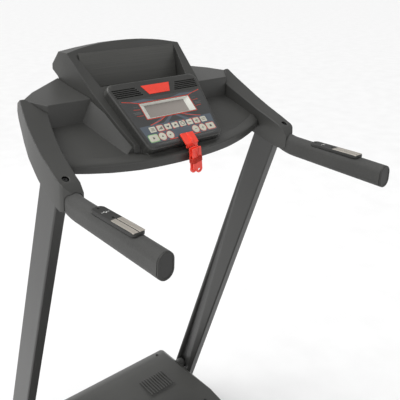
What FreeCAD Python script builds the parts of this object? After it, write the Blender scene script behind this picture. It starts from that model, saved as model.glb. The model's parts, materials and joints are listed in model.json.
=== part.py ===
"""Folding home treadmill: console, handles, uprights, base and folding running deck.

Millimetres, +X to the user's right, +Y the way the user faces, +Z up. The origin
is on the floor, under the middle of the whole machine.
"""
import FreeCAD, Part
import math
import os

Vec = FreeCAD.Vector

# Driving dimensions --------------------------------------------------------------
CONSOLE_Y = 250.0          # middle of the console's arm screws, along Y
CONSOLE_Z = 1120.0         # and above the floor
ARM_SCREW_X = 330.0        # half the spacing of the two arm screws

UPRIGHT_IN = 315.5         # inner and outer faces of an upright tube
UPRIGHT_OUT = 343.0
UPRIGHT_DEPTH = 70.0       # across the leaning tube
UPRIGHT_LEAN = math.radians(17.45)
UPRIGHT_MID_Y = CONSOLE_Y + 36.0   # middle of the tube at the console's height
UPRIGHT_TOP_Z = CONSOLE_Z - 8.0
TUBE_WALL = 2.0

RAIL_IN = 315.0            # base side rails
RAIL_OUT = 345.0
RAIL_FRONT = 735.0
RAIL_REAR = -40.0
RAIL_LOW = 10.0
RAIL_TOP = 50.0

PIVOT_Y = 590.0            # hinge that the deck folds on
PIVOT_Z = 170.0
PIVOT_R = 10.0
RUN_FIT = 0.05             # radial clearance of a shaft that turns in its bore

DECK_OUT = 288.0           # half width of the deck's covers
SIDE_IN = 250.0            # deck side tubes
SIDE_OUT = 275.0
SIDE_LOW = 84.0
SIDE_TOP = 148.0
DECK_REAR = -750.0
ROLLER_Z = 131.0
ROLLER_R = 22.8
FRONT_ROLLER_Y = 420.0
REAR_ROLLER_Y = -705.0
AXLE_R = 8.0
BELT_HALF = 200.0
BELT_T = 2.2
BELT_IN_R = 23.1           # belt's inner face, clear of the rollers
BOARD_LOW = 138.0
BOARD_TOP = 154.0
FOOT_RAIL_TOP = 164.0
FOOT_RAIL_IN = 204.0
FOOT_RAIL_FRONT = 334.0
CAP_FRONT = -662.0

MOTOR_Y = 540.0
MOTOR_Z = 140.0
MOTOR_R = 44.0
MOTOR_PULLEY_R = 14.0
ROLLER_PULLEY_R = 34.0
PULLEY_OUT = 242.0
PULLEY_IN = 220.0

STRUT_BASE = (530.0, 42.0)         # strut pins, as (y, z) with the deck down
STRUT_DECK = (250.0, 78.0)
STRUT_R = 13.0
STRUT_TUBE_LENGTH = 214.0

PANEL_SLOPE = math.radians(41.9)   # slope of the console's face
PANEL_Y = CONSOLE_Y + 18.6         # a point on the display module's face
PANEL_Z = CONSOLE_Z + 21.6
MODULE_T = 20.0                    # display module's thickness
MODULE_LOW = -14.0                 # its front and rear ends along the slope
MODULE_HIGH = 170.0

HANDLE_W = 36.0                    # foam grip's section
HANDLE_H = 51.0
HANDLE_TUBE_W = 25.0
HANDLE_TUBE_H = 40.0
HANDLE_X = 326.0                   # grip's axis at the upright
HANDLE_TURN = math.degrees(math.atan(5.0 / 310.0))

SHELL = 3.0                        # moulded covers' wall


# Small helpers -------------------------------------------------------------------
def box(x0, x1, y0, y1, z0, z1):
    """Block between three pairs of limits."""
    low = Vec(min(x0, x1), min(y0, y1), min(z0, z1))
    return Part.makeBox(abs(x1 - x0), abs(y1 - y0), abs(z1 - z0), low)


def cylinder(radius, start, end):
    """Round bar from one point to another."""
    first = Vec(*start)
    along = Vec(*end) - first
    return Part.makeCylinder(radius, along.Length, first, along)


def ring(outer, inner, start, end):
    """Round tube from one point to another."""
    return cylinder(outer, start, end).cut(cylinder(inner, start, end))


def x_bar(radius, x0, x1, y, z):
    """Round bar along X."""
    return cylinder(radius, (x0, y, z), (x1, y, z))


def prism_x(points, x0, x1):
    """(y, z) outline carried along X."""
    corners = [Vec(x0, y, z) for y, z in points]
    face = Part.Face(Part.makePolygon(corners + corners[:1]))
    return face.extrude(Vec(x1 - x0, 0, 0))


def prism_z(points, z0, z1):
    """(x, y) outline carried along Z."""
    corners = [Vec(x, y, z0) for x, y in points]
    face = Part.Face(Part.makePolygon(corners + corners[:1]))
    return face.extrude(Vec(0, 0, z1 - z0))


def prism_y(points, y0, y1):
    """(x, z) outline carried along Y."""
    corners = [Vec(x, y0, z) for x, z in points]
    face = Part.Face(Part.makePolygon(corners + corners[:1]))
    return face.extrude(Vec(0, y1 - y0, 0))


def mirrored(shape):
    """The same part for the other side of the machine."""
    return shape.mirror(Vec(0, 0, 0), Vec(1, 0, 0))


def fused(shapes):
    """One solid from several that touch."""
    whole = shapes[0]
    for other in shapes[1:]:
        whole = whole.fuse(other)
    return whole.removeSplitter()


def without(shape, tools):
    """A shape with several others cut away."""
    for tool in tools:
        shape = shape.cut(tool)
    return shape


def rounded(shape, radius, along):
    """Fillet the straight edges that run along one axis."""
    edges = []
    for edge in shape.Edges:
        if not isinstance(edge.Curve, Part.Line):
            continue
        way = edge.Curve.Direction
        if abs(abs(way.dot(along)) - 1) < 1e-6:
            edges.append(edge)
    return shape.makeFillet(radius, edges)


def box_tube(x0, x1, y0, y1, z0, z1, along, corner=4.0):
    """Rectangular steel tube with rounded corners, open at both ends."""
    outer = rounded(box(x0, x1, y0, y1, z0, z1), corner, along)
    t = TUBE_WALL
    grow = Vec(1, 1, 1) - along
    low = Vec(x0, y0, z0) + grow * t - along
    high = Vec(x1, y1, z1) - grow * t + along
    inner = rounded(box(low.x, high.x, low.y, high.y, low.z, high.z), corner - t, along)
    return outer.cut(inner)


def to_console(shape):
    """Move a console part from its own origin, midway between the arm screws."""
    shape.translate(Vec(0, CONSOLE_Y, CONSOLE_Z))
    return shape


def to_panel(shape):
    """Tilt a part made flat (X across, Y up the slope, Z outwards) onto the panel."""
    shape.rotate(Vec(0, 0, 0), Vec(1, 0, 0), math.degrees(PANEL_SLOPE))
    shape.translate(Vec(0, PANEL_Y, PANEL_Z))
    return shape


def save(name, shape):
    """Write one node."""
    if isinstance(shape, list):
        shape = Part.makeCompound(shape)
    for solid in shape.Solids:
        if not solid.isValid() or solid.Volume <= 0:
            print("check the solid of", name)
    shape.exportStep("parts/%s.step" % name)
    print("%-28s %d solids %9.1f cm3" % (name, len(shape.Solids), shape.Volume / 1000))


def save_pair(name, shape):
    """Write the right-hand part and its mirror image."""
    solids = shape if isinstance(shape, list) else [shape]
    save(name + "_right", solids)
    save(name + "_left", [mirrored(solid) for solid in solids])


# Base ----------------------------------------------------------------------------
ALONG_X = Vec(1, 0, 0)
ALONG_Y = Vec(0, 1, 0)
ALONG_Z = Vec(0, 0, 1)
FRONT_TUBE = (655.0, 685.0)
STRUT_TUBE = (515.0, 545.0)
STRUT_TUBE_TOP = 31.0
WHEEL_Y = 722.0
WHEEL_Z = 27.0
WHEEL_R = 25.0
WHEEL_IN = 289.0
WHEEL_OUT = 309.0
WHEEL_AXLE_R = 5.0
PAD_SPANS = ((-30.0, 20.0), (600.0, 650.0))


def base_side_rail():
    """Floor rail, with the hole that holds the wheel's axle."""
    rail = box_tube(RAIL_IN, RAIL_OUT, RAIL_REAR, RAIL_FRONT, RAIL_LOW, RAIL_TOP, ALONG_Y)
    return rail.cut(x_bar(WHEEL_AXLE_R, RAIL_IN - 1, RAIL_IN + 6, WHEEL_Y, WHEEL_Z))


def base_cross_tubes():
    """Front cross tube, and the lower one that carries the strut."""
    front = box_tube(-RAIL_IN, RAIL_IN, *FRONT_TUBE, RAIL_LOW, RAIL_TOP, ALONG_X)
    strut = box_tube(-RAIL_IN, RAIL_IN, *STRUT_TUBE, RAIL_LOW, STRUT_TUBE_TOP, ALONG_X)
    return [front, strut, strut_base_bracket()]


def base_end_caps():
    """Plastic plugs: long rounded ones at the front, flat ones at the rear."""
    caps = []
    for y0, y1 in ((RAIL_FRONT, 750.0), (RAIL_REAR - 5, RAIL_REAR)):
        cap = rounded(box(RAIL_IN, RAIL_OUT, y0, y1, RAIL_LOW, RAIL_TOP), 4.0, ALONG_Y)
        inner = RAIL_FRONT - 12 if y0 == RAIL_FRONT else RAIL_REAR + 12
        edge = y0 if y0 == RAIL_FRONT else y1
        plug = box(RAIL_IN + 3, RAIL_OUT - 3, edge, inner, RAIL_LOW + 3, RAIL_TOP - 3)
        caps.append(fused([cap, plug]))
    return caps + [mirrored(cap) for cap in caps]


def base_pads():
    """Rubber blocks that the rails stand on."""
    pads = []
    for y0, y1 in PAD_SPANS:
        pad = rounded(box(RAIL_IN, RAIL_OUT, y0, y1, 0, RAIL_LOW), 6.0, ALONG_Z)
        pads.append(pad)
    return pads + [mirrored(pad) for pad in pads]


def wheel():
    """Transport wheel with a stepped hub and a grooved tyre."""
    body = x_bar(WHEEL_R, WHEEL_IN, WHEEL_OUT, WHEEL_Y, WHEEL_Z)
    edges = [edge for edge in body.Edges if isinstance(edge.Curve, Part.Circle)]
    body = body.makeFillet(3.0, edges)
    dish = [ring(18.0, 9.0, (x0, WHEEL_Y, WHEEL_Z), (x1, WHEEL_Y, WHEEL_Z))
            for x0, x1 in ((WHEEL_IN - 1, WHEEL_IN + 5), (WHEEL_OUT - 5, WHEEL_OUT + 1))]
    bore = x_bar(WHEEL_AXLE_R + RUN_FIT, WHEEL_IN - 1, WHEEL_OUT + 1, WHEEL_Y, WHEEL_Z)
    return without(body, dish + [bore])


def wheel_axle():
    """Shoulder bolt through the wheel into the rail."""
    bolt = x_bar(WHEEL_AXLE_R, WHEEL_IN - 4, RAIL_IN + 5, WHEEL_Y, WHEEL_Z)
    head = x_bar(8.5, WHEEL_IN - 7, WHEEL_IN - 1, WHEEL_Y, WHEEL_Z)
    collar = x_bar(9.0, WHEEL_OUT + 1, RAIL_IN, WHEEL_Y, WHEEL_Z)
    return fused([bolt, head, collar])


# Uprights ------------------------------------------------------------------------
def upright_y(z, across=0.0):
    """Y of a line along the upright, offset across the leaning tube."""
    middle = UPRIGHT_MID_Y + math.tan(UPRIGHT_LEAN) * (CONSOLE_Z - z)
    return middle + across / math.cos(UPRIGHT_LEAN)


def upright_outline(half, low, high):
    """(y, z) outline of the leaning tube between two heights."""
    return [(upright_y(low, -half), low), (upright_y(low, half), low),
            (upright_y(high, half), high), (upright_y(high, -half), high)]


def upright_block(grow=0.0):
    """The tube's outside as a solid bar with rounded corners."""
    half = UPRIGHT_DEPTH / 2 + grow
    outline = upright_outline(half, RAIL_TOP, UPRIGHT_TOP_Z + grow)
    bar = prism_x(outline, UPRIGHT_IN - grow, UPRIGHT_OUT + grow)
    along = Vec(0, -math.sin(UPRIGHT_LEAN), math.cos(UPRIGHT_LEAN))
    return rounded(bar, 4.0 + grow, along)


def upright():
    """Leaning oblong tube, drilled for the fold pivot."""
    half = UPRIGHT_DEPTH / 2 - TUBE_WALL
    outline = upright_outline(half, RAIL_TOP - 5, UPRIGHT_TOP_Z + 5)
    hollow = prism_x(outline, UPRIGHT_IN + TUBE_WALL, UPRIGHT_OUT - TUBE_WALL)
    hole = x_bar(PIVOT_R, UPRIGHT_IN - 1, UPRIGHT_OUT + 1, PIVOT_Y, PIVOT_Z)
    return upright_block().cut(hollow).cut(hole)


def upright_gusset():
    """Welded plates in the corners between the upright and its rail."""
    x0, x1 = 326.0, 332.0
    back = upright_y(RAIL_TOP, -UPRIGHT_DEPTH / 2)
    front = upright_y(RAIL_TOP, UPRIGHT_DEPTH / 2)
    rise = 75.0
    behind = [(back, RAIL_TOP), (back - 70, RAIL_TOP),
              (upright_y(RAIL_TOP + rise, -UPRIGHT_DEPTH / 2), RAIL_TOP + rise)]
    ahead = [(front, RAIL_TOP), (front + 45, RAIL_TOP),
             (upright_y(RAIL_TOP + rise, UPRIGHT_DEPTH / 2), RAIL_TOP + rise)]
    return [prism_x(behind, x0, x1), prism_x(ahead, x0, x1)]


def pivot_boss():
    """Spacer welded to the upright's inner face, around the pivot bolt."""
    start = (SIDE_OUT + 6.4, PIVOT_Y, PIVOT_Z)
    return ring(16.0, PIVOT_R, start, (UPRIGHT_IN, PIVOT_Y, PIVOT_Z))


def pivot_bolt():
    """Fold pivot bolt with its head and its nut."""
    shank = x_bar(PIVOT_R, SIDE_OUT - 6, UPRIGHT_OUT, PIVOT_Y, PIVOT_Z)
    head = x_bar(15.0, UPRIGHT_OUT, UPRIGHT_OUT + 5, PIVOT_Y, PIVOT_Z)
    head = head.makeFillet(2.0, [edge for edge in head.Edges
                                 if abs(edge.BoundBox.XMin - UPRIGHT_OUT - 5) < 0.01
                                 and edge.BoundBox.XLength < 0.01])
    nut = x_bar(15.0, SIDE_OUT - 6, SIDE_OUT - 0.4, PIVOT_Y, PIVOT_Z)
    return fused([shank, head, nut])


# Console -------------------------------------------------------------------------
# (x, y) outlines and (y, z) profiles in the console's own coordinates.
ARM_OUTER = [(349, -8), (348, 21), (345.5, 65), (341, 105), (336, 140), (329, 171),
             (322, 198), (318, 216), (313, 231)]
ARM_INNER = [(274, 159), (280, 141), (286, 120), (292, 93), (297, 64), (302, 29), (305, 2),
             (306, -28)]
ARM_PROFILE = [(-14, -5), (21, 12), (65, 32), (105, 54), (140, 76), (171, 97), (198, 118),
               (222, 106), (231, 88), (203, 56), (174, 29), (144, 6), (90, -26), (68, -36),
               (15, -56), (-3, -60), (-20, -60), (-29, -52), (-29, -24)]
LIP_R = 750.0
LIP_FRONT = 0.0
TRAY_PROFILE = [(-4, -31), (-4, -14), (4, -9), (50, -1), (160, 54), (160, 105), (300, 137),
                (312, 128), (312, 112), (170, 24), (60, -26)]
TRAY_INSIDE = [(8, -34), (8, -16), (50, -5), (163, 51), (163, 101), (292, 131), (305, 120),
               (305, 100), (172, 20), (60, -34)]
BELLY = [(0, -31.5), (130, -30), (200, -26), (250, -21.5), (300, -16)]  # tray's underside
HOOD_HALF_LOW = 128.0
HOOD_HALF_HIGH = 173.0
HOOD_NOSE_Y = 45.0
HOOD_TOP_Y = 245.0


def hood_plane(y, below=0.0):
    """Height of the hood's sloping face, or of a plane some way below it."""
    drop = MODULE_T + 0.3 + below
    rise = math.tan(PANEL_SLOPE) * (y - (PANEL_Y - CONSOLE_Y))
    return PANEL_Z - CONSOLE_Z + rise - drop / math.cos(PANEL_SLOPE)


def console_arm():
    """Hollow shroud over the top of an upright, with the grip's collar at its front."""
    plan = [(303, 229), (304.5, 213.5), (312, 203)] + ARM_INNER + [(330, -29), (346, -16)] + ARM_OUTER
    outer = prism_x(ARM_PROFILE, 260, 360).common(prism_z(plan, -90, 150))
    inside_plan = [(x - 3, y) for x, y in ARM_OUTER[1:-2]]
    inside_plan += [(x + 3, y - 3) for x, y in ARM_INNER[:-1]]
    inside_plan += [(308, -24), (328, -25), (345, -12)]
    top = [(y, z - SHELL) for y, z in ARM_PROFILE[:7]]
    low = [(y, z + SHELL) for y, z in ARM_PROFILE[9:15]]
    inside_profile = top + [(216, 104), (224, 88)] + low + [(-3, -57), (-25, -52), (-25, -25)]
    inner = prism_x(inside_profile, 260, 360).common(prism_z(inside_plan, -90, 150))
    shell = outer.cut(inner)
    sleeve = upright_block(0.3)
    sleeve.translate(Vec(0, -CONSOLE_Y, -CONSOLE_Z))
    grip = grip_solid(1.2)
    grip.translate(Vec(0, -CONSOLE_Y, -CONSOLE_Z))
    head_hole = cylinder(7.5, (ARM_SCREW_X, 3, -9), (ARM_SCREW_X, -6, 12))
    return to_console(without(shell, [sleeve, grip, head_hole]))


def arm_screw():
    """Countersunk screw at the bottom of the hole in the arm's top."""
    head = cylinder(5.4, (ARM_SCREW_X, 1.6, -4), (ARM_SCREW_X, 0.4, -1))
    drive = cylinder(2.4, (ARM_SCREW_X, 0.9, -2.4), (ARM_SCREW_X, 0, 0))
    shank = cylinder(2.4, (ARM_SCREW_X, 4.5, -10), (ARM_SCREW_X, 1.6, -4))
    return to_console(fused([head, shank]).cut(drive))


def tray_plan(inset=0.0):
    """Flat outline between the arms, bowed at the front and at the rear."""
    half = 296.0 - inset
    front = LIP_FRONT + inset
    side_front = front + half * half / (2 * LIP_R)
    corner = Vec(half, side_front, 0)
    lip = Part.Arc(corner, Vec(0, front, 0), Vec(-half, side_front, 0)).toShape()
    rear = [(-292 + inset, 93), (-286 + inset, 120), (-274 + inset, 159),
            (-312 + 2 * inset, 203 - inset), (-274, 234 - inset), (-173, 292 - inset)]
    rear += [(-x, y) for x, y in reversed(rear)]
    points = [Vec(-half, side_front, 0)] + [Vec(x, y, 0) for x, y in rear] + [corner]
    edges = [lip] + [Part.LineSegment(a, b).toShape() for a, b in zip(points, points[1:])]
    face = Part.Face(Part.Wire(edges))
    face.translate(Vec(0, 0, -90))
    return face.extrude(Vec(0, 0, 300))


HOOD_BULGE = [(140.5, 81.0), (162.5, 158.0)]


def hood_plan(inset=0.0):
    """Flat outline of the hood: a narrow nose that widens to the tablet rest."""
    side = [(108 - inset, 12 + inset), (112 - inset, 40 + inset),
            (HOOD_HALF_LOW - inset, HOOD_NOSE_Y + inset)]
    side += [(x - inset, y) for x, y in HOOD_BULGE]
    side += [(HOOD_HALF_HIGH - inset, HOOD_TOP_Y), (HOOD_HALF_HIGH - inset, 330)]
    return prism_z(side + [(-x, y) for x, y in reversed(side)], -90, 260)


def pocket(sign):
    """Space of one open tray in the console."""
    plan = [(sign * x, y) for x, y in ((139, 56), (165, 160), (276, 160), (287, 120),
                                       (299, 62), (240, 58))]
    above = [(44, -3.5), (160, 54.5), (160, 200), (44, 200)]
    return prism_x(above, -400, 400).common(prism_z(plan, -60, 200))


def hood_flank(sign):
    """Sloping flank beside the hood, from its crest down to the open tray's floor."""
    sections = []
    for y, half, foot in ((48.0, 129.1, 146.0), (81.0, 140.5, 158.3), (120.0, 151.6, 172.8),
                          (165.0, 163.4, 189.5)):
        floor = -3.0 + (y - 48.0) / 2
        top = min(hood_plane(y) - 8.0, 103.0)
        outline = [(half + 0.3, floor), (foot, floor), (half + 3.0, top), (half + 0.3, top)]
        points = [Vec(sign * x, y, z) for x, z in outline]
        sections.append(Part.makePolygon(points + points[:1]))
    return Part.makeLoft(sections, True, True)


def belly(low, high):
    """Band along the tray's bowed underside, between two offsets from it."""
    bow = [(-x, z) for x, z in reversed(BELLY[1:])] + BELLY
    outline = [(x, z + low) for x, z in bow] + [(x, z + high) for x, z in reversed(bow)]
    return prism_y(outline, -20, 100)


def console_tray():
    """Moulding with the two open trays, the front lip and the rear roof."""
    solid = prism_x(TRAY_PROFILE, -312, 312).common(tray_plan())
    hollow = prism_x(TRAY_INSIDE, -296, 296).common(tray_plan(SHELL))
    shell = without(solid, [pocket(1), pocket(-1), hollow])
    shell = without(shell, [belly(-60, 0)])
    shell = fused([shell, hood_flank(1), hood_flank(-1), belly(0, SHELL).common(solid)])
    shell = without(shell, [hood_plan(-0.2).common(hood_region())])
    return to_console(without(shell, [module_seat()]))


def hood_region():
    """Everything above the tray's thin centre floor."""
    return prism_x([(0, -13.5), (60, -4), (168, 49), (287, 107), (340, 107), (340, 260), (0, 260)],
                   -200, 200)


def module_seat():
    """Space that the display module sinks into, in console coordinates."""
    seat = rounded(prism_z(module_outline(0.4), -MODULE_T - 0.3, 40), 20.0, ALONG_Z)
    to_panel(seat)
    seat.translate(Vec(0, -CONSOLE_Y, -CONSOLE_Z))
    return seat


HOOD_PROFILE = [(12, -11), (12, hood_plane(12) + 4), (HOOD_NOSE_Y, hood_plane(HOOD_NOSE_Y)),
                (266, hood_plane(266)), (274, 213), (318, 166), (318, 152), (290, 136),
                (286, 108), (168, 50), (60, -3)]
LEDGE = (168.0, 220.0)             # tablet ledge, front and back
PANEL_TOP_Y = 240.0


def hood_arch(low):
    """Space under the hood's arched top edge."""
    top = 216.0 + low
    side = top - 18.0
    start = Vec(-200, 0, side - 5)
    crest = Part.Arc(start, Vec(0, 0, top), Vec(200, 0, side - 5)).toShape()
    corners = [Vec(200, 0, side - 5), Vec(200, 0, -40), Vec(-200, 0, -40), start]
    edges = [crest] + [Part.LineSegment(a, b).toShape() for a, b in zip(corners, corners[1:])]
    return Part.Face(Part.Wire(edges)).extrude(Vec(0, 360, 0))


def tablet_recess():
    """Space in front of the tablet panel and above its ledge."""
    outline = [(LEDGE[0] - 4, 128), (LEDGE[0], 126), (LEDGE[1], 114), (PANEL_TOP_Y, 197),
               (244, 240), (120, 240), (120, 132)]
    plan = [(127, 150), (155, 245), (-155, 245), (-127, 150)]
    return prism_x(outline, -170, 170).common(prism_z(plan, 100, 250))


def console_hood():
    """Raised hood: seat of the display module, ledge and tablet rest."""
    outer = prism_x(HOOD_PROFILE, -180, 180).common(hood_plan()).common(hood_arch(0))
    inside = [(22, -12), (22, hood_plane(22, SHELL)), (150, hood_plane(150, SHELL)),
              (LEDGE[0] + 2, 121), (LEDGE[1] + 3, 109), (PANEL_TOP_Y + 5, 196), (266, 205),
              (313, 163), (313, 154), (287, 138), (283, 98), (168, 42), (60, -11)]
    cavity = prism_x(inside, -180, 180).common(hood_plan(SHELL)).common(hood_arch(-SHELL))
    window = prism_z([(-92, 10), (92, 10), (100, 150), (-100, 150)], -30, 2)
    to_panel(window)
    window.translate(Vec(0, -CONSOLE_Y, -CONSOLE_Z))
    back = prism_x([(284, 220), (330, 160), (330, 148), (302, 140), (262, 190)], -155, 155)
    back = back.common(hood_arch(-14))
    return to_console(without(outer, [tablet_recess(), cavity, window, module_seat(), back]))


def hood_back_cover():
    """Cover that closes the hood's rear."""
    plate = prism_x([(262.6, 210.2), (276.4, 210.2), (316, 168), (316, 153), (303, 145.5),
                     (301, 149), (312, 155), (312, 166), (272, 207)], -154, 154)
    return to_console(plate.common(hood_arch(-14.5)).common(back_limits()))


def back_limits():
    """Space that the rear cover may fill."""
    return prism_x([(284, 219), (329, 160), (329, 148), (302, 141), (262, 190)], -154, 154)


def tablet_panel():
    """Brushed sheet behind the tablet ledge."""
    lean = [(LEDGE[1] - 0.6, 114.6), (PANEL_TOP_Y - 0.8, 196.5), (PANEL_TOP_Y - 3, 197.4),
            (LEDGE[1] - 2.8, 115.2)]
    return to_console(prism_x(lean, -146, 146))


def console_bottom():
    """Cover that closes the console from below."""
    strip = [(9, -30.7), (60, -25.7), (170, 24), (303, 106), (304, 101), (172, 20.5),
             (60, -29.5), (9, -34)]
    cover = prism_x(strip, -295, 295).common(tray_plan(SHELL + 0.3))
    return to_console(without(cover, [belly(-60, SHELL + 0.3)]))


# Display module ------------------------------------------------------------------
# Made flat: X across, Y up the slope from the panel's reference point, Z outwards.
GRILLE_LOW = 127.0
GRILLE_HIGH = 153.0
OVERLAY_LOW = -9.0
OVERLAY_HIGH = 120.0
LCD_LOW = 62.4
LCD_HIGH = 105.4
LCD_HALF = 75.0


def module_half(v, inset=0.0):
    """Half width of the display module at a place up the slope."""
    part = (v - MODULE_LOW) / (MODULE_HIGH - MODULE_LOW)
    return 112.0 + (140.0 - 112.0) * part - inset


def module_outline(grow=0.0):
    """Outline of the display module."""
    low = MODULE_LOW - grow
    high = MODULE_HIGH + grow
    left = module_half(low, -grow)
    right = module_half(high, -grow)
    return [(-left, low), (left, low), (right, high), (-right, high)]


def band_outline(low, high, inset):
    """Outline across the module between two places up the slope."""
    return [(-module_half(low, inset), low), (module_half(low, inset), low),
            (module_half(high, inset), high), (-module_half(high, inset), high)]


def grille_slots():
    """Five long openings on each side of the emblem."""
    slots = []
    pitch = (GRILLE_HIGH - GRILLE_LOW) / 5
    for row in range(5):
        low = GRILLE_LOW + row * pitch
        inner = 48.0 + 16.0 * (low - GRILLE_LOW) / (GRILLE_HIGH - GRILLE_LOW)
        outer = module_half(low, 9.0)
        for sign in (1, -1):
            slots.append(box(sign * inner, sign * outer, low + 0.8, low + 3.6, -6, 1))
    return slots


def display_housing():
    """Moulded plate with the screen opening, grilles and recesses."""
    plate = rounded(prism_z(module_outline(), -MODULE_T, 0), 18.0, ALONG_Z)
    rim = [edge for edge in plate.Edges if edge.BoundBox.ZMin > -0.01]
    plate = plate.makeFillet(5.0, rim)
    hollow = prism_z(band_outline(MODULE_LOW + 16, MODULE_HIGH - 5, 8.0), -MODULE_T - 1, -4)
    film = rounded(prism_z(band_outline(OVERLAY_LOW, OVERLAY_HIGH, 6.0), -0.8, 1), 8.0, ALONG_Z)
    screen = box(-LCD_HALF, LCD_HALF, LCD_LOW, LCD_HIGH, -8, 1)
    emblem = prism_z(emblem_outline(0.2), -2, 1)
    key = box(-21, 21, OVERLAY_LOW - 20, 6.0, -0.8, 1)
    return to_panel(without(plate, [hollow, film, screen, emblem, key] + grille_slots()))


def emblem_outline(grow=0.0):
    """Tapered emblem between the grilles."""
    return [(-31 - grow, GRILLE_LOW - grow), (31 + grow, GRILLE_LOW - grow),
            (43 + grow, GRILLE_HIGH + grow), (-43 - grow, GRILLE_HIGH + grow)]


def emblem_plate():
    """Raised plain emblem."""
    return to_panel(prism_z(emblem_outline(), -1.9, 0.8))


def keypad_overlay():
    """Membrane keypad film, open at the screen and at the key's socket."""
    film = rounded(prism_z(band_outline(OVERLAY_LOW + 0.2, OVERLAY_HIGH - 0.2, 6.3), -0.8, 0.2),
                   7.8, ALONG_Z)
    screen = box(-LCD_HALF, LCD_HALF, LCD_LOW, LCD_HIGH, -2, 1)
    key = box(-21, 21, OVERLAY_LOW - 20, 6.0, -2, 1)
    return to_panel(without(film, [screen, key]))


def lcd_bezel():
    """Sloping pale frame from the keypad down to the screen."""
    high = [Vec(-LCD_HALF + 0.3, LCD_LOW + 0.3, 0.2), Vec(LCD_HALF - 0.3, LCD_LOW + 0.3, 0.2),
            Vec(LCD_HALF - 0.3, LCD_HIGH - 0.3, 0.2), Vec(-LCD_HALF + 0.3, LCD_HIGH - 0.3, 0.2)]
    body = Part.Face(Part.makePolygon(high + high[:1])).extrude(Vec(0, 0, -6.2))
    wires = []
    for inset_x, inset_y, z in ((1.0, 1.0, 0.3), (15.0, 4.0, -6.1)):
        x = LCD_HALF - inset_x
        low, top = LCD_LOW + inset_y, LCD_HIGH - inset_y
        corners = [Vec(-x, low, z), Vec(x, low, z), Vec(x, top, z), Vec(-x, top, z)]
        wires.append(Part.makePolygon(corners + corners[:1]))
    funnel = Part.makeLoft(wires, True, True)
    return to_panel(body.cut(funnel))


def lcd_screen():
    """Screen behind the pale frame."""
    return to_panel(box(-64, 64, LCD_LOW + 2, LCD_HIGH - 2, -9.5, -6.2))


def display_board():
    """Circuit board with its chips and connector."""
    board = box(-90, 90, 8, 112, -12, -10.2)
    chips = [box(-40, -20, 20, 40, -15, -12), box(10, 30, 25, 35, -14, -12),
             box(45, 75, 14, 22, -17, -12), box(-75, -55, 80, 95, -14, -12)]
    return to_panel(fused([board] + chips))


def speaker():
    """Loudspeaker under the right-hand grille."""
    rim = cylinder(17, (88, 138.5, -9), (88, 138.5, -6.5))
    cone = Part.makeCone(9, 16, 8, Vec(88, 138.5, -17), Vec(0, 0, 1))
    magnet = cylinder(10, (88, 138.5, -24), (88, 138.5, -17))
    return to_panel(fused([rim, cone, magnet]))


# Safety key ----------------------------------------------------------------------
CLIP_TILT = 8.0
CLIP_AT = (-3.0, -15.5, 0.0)       # top of the hanging clip, console coordinates


def key_socket():
    """Black magnetic seat that the key stands on."""
    seat = rounded(box(-20.6, 20.6, -13.2, 5.6, -0.8, 3.0), 3.0, ALONG_Z)
    return to_panel(seat)


def safety_key():
    """Key: tab with a centre rib, folded over the panel's front edge."""
    tab = rounded(box(-19, 19, -24, 5, 3.3, 8.0), 2.0, ALONG_Z)
    rib = prism_x([(-22, 7.5), (4, 7.5), (2, 10.5), (-18, 12.5)], -3, 3)
    fold = prism_x([(-24, 3.3), (-24, 8), (-30, 2), (-30, -3.5), (-25.5, -3.5), (-21, 3.3)],
                   -15, 15)
    eye = x_bar(1.4, -20, 20, -27.6, -0.2)
    return to_panel(fused([tab, rib, fold]).cut(eye))


def to_clip(shape):
    """Hang a part made about the clip's top."""
    shape.rotate(Vec(0, 0, 0), Vec(0, 1, 0), -CLIP_TILT)
    shape.translate(Vec(*CLIP_AT))
    return to_console(shape)


def key_clip():
    """Spring clip: two bars, a leaf between them and two round jaws."""
    front = box(-13, 13, -6, -2.4, -46, 4)
    back = box(-13, 13, 2.4, 6, -46, 4)
    bridge = box(-10, 10, -3, 3, -15, -9)
    jaws = [cylinder(9.5, (3.5, -6, -48), (3.5, -2.4, -48)),
            cylinder(9.5, (-5.0, 2.4, -48), (-5.0, 6, -48))]
    hole = cylinder(3.2, (3.5, -7, -50), (3.5, -1, -50))
    whole = fused([front, back, bridge] + jaws).cut(hole)
    return to_clip(whole)


def key_winding():
    """The cord's turns round the clip, as one closed ring."""
    outer = rounded(box(-17.5, 17.5, -10.5, 10.5, -34, -17), 5.0, ALONG_Z)
    core = box(-13.05, 13.05, -6.05, 6.05, -40, -10)
    return to_clip(outer.cut(core))


LANYARD_R = 1.0
LANYARD = [(0.0, -4.78, 8.7), (0.0, -10.3, 9.0), (-0.3, -17.0, 8.2), (-1.2, -24.2, 5.2),
           (-2.3, -25.6, -3.2), (-1.4, -23.75, -11.39), (-0.634, -23.75, -16.835)]


def tube_along(points, radius):
    """Round tube on straight runs joined by tangent arcs; prints each arc's radius."""
    route = [Vec(*point) for point in points]
    edges = []
    start = route[0]
    for before, corner, after in zip(route, route[1:], route[2:]):
        run_in = corner - before
        run_out = after - corner
        half_turn = run_in.getAngle(run_out) / 2
        reach = 0.45 * min(run_in.Length, run_out.Length)
        bend = reach / math.tan(half_turn)
        to_centre = (run_out.normalize() - run_in.normalize()).normalize()
        first = corner - run_in * reach
        last = corner + run_out * reach
        middle = corner + to_centre * (bend / math.cos(half_turn) - bend)
        edges.append(Part.LineSegment(start, first).toShape())
        edges.append(Part.Arc(first, middle, last).toShape())
        print("  lanyard bend radius %.1f mm" % bend)
        start = last
    edges.append(Part.LineSegment(start, route[-1]).toShape())
    path = Part.Wire(edges)
    section = Part.Wire(Part.makeCircle(radius, route[0], route[1] - route[0]))
    tube = path.makePipeShell([section], True, True)
    print("  lanyard tube volume over section times length: %.3f"
          % (tube.Volume / (math.pi * radius ** 2 * path.Length)))
    return tube


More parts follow.
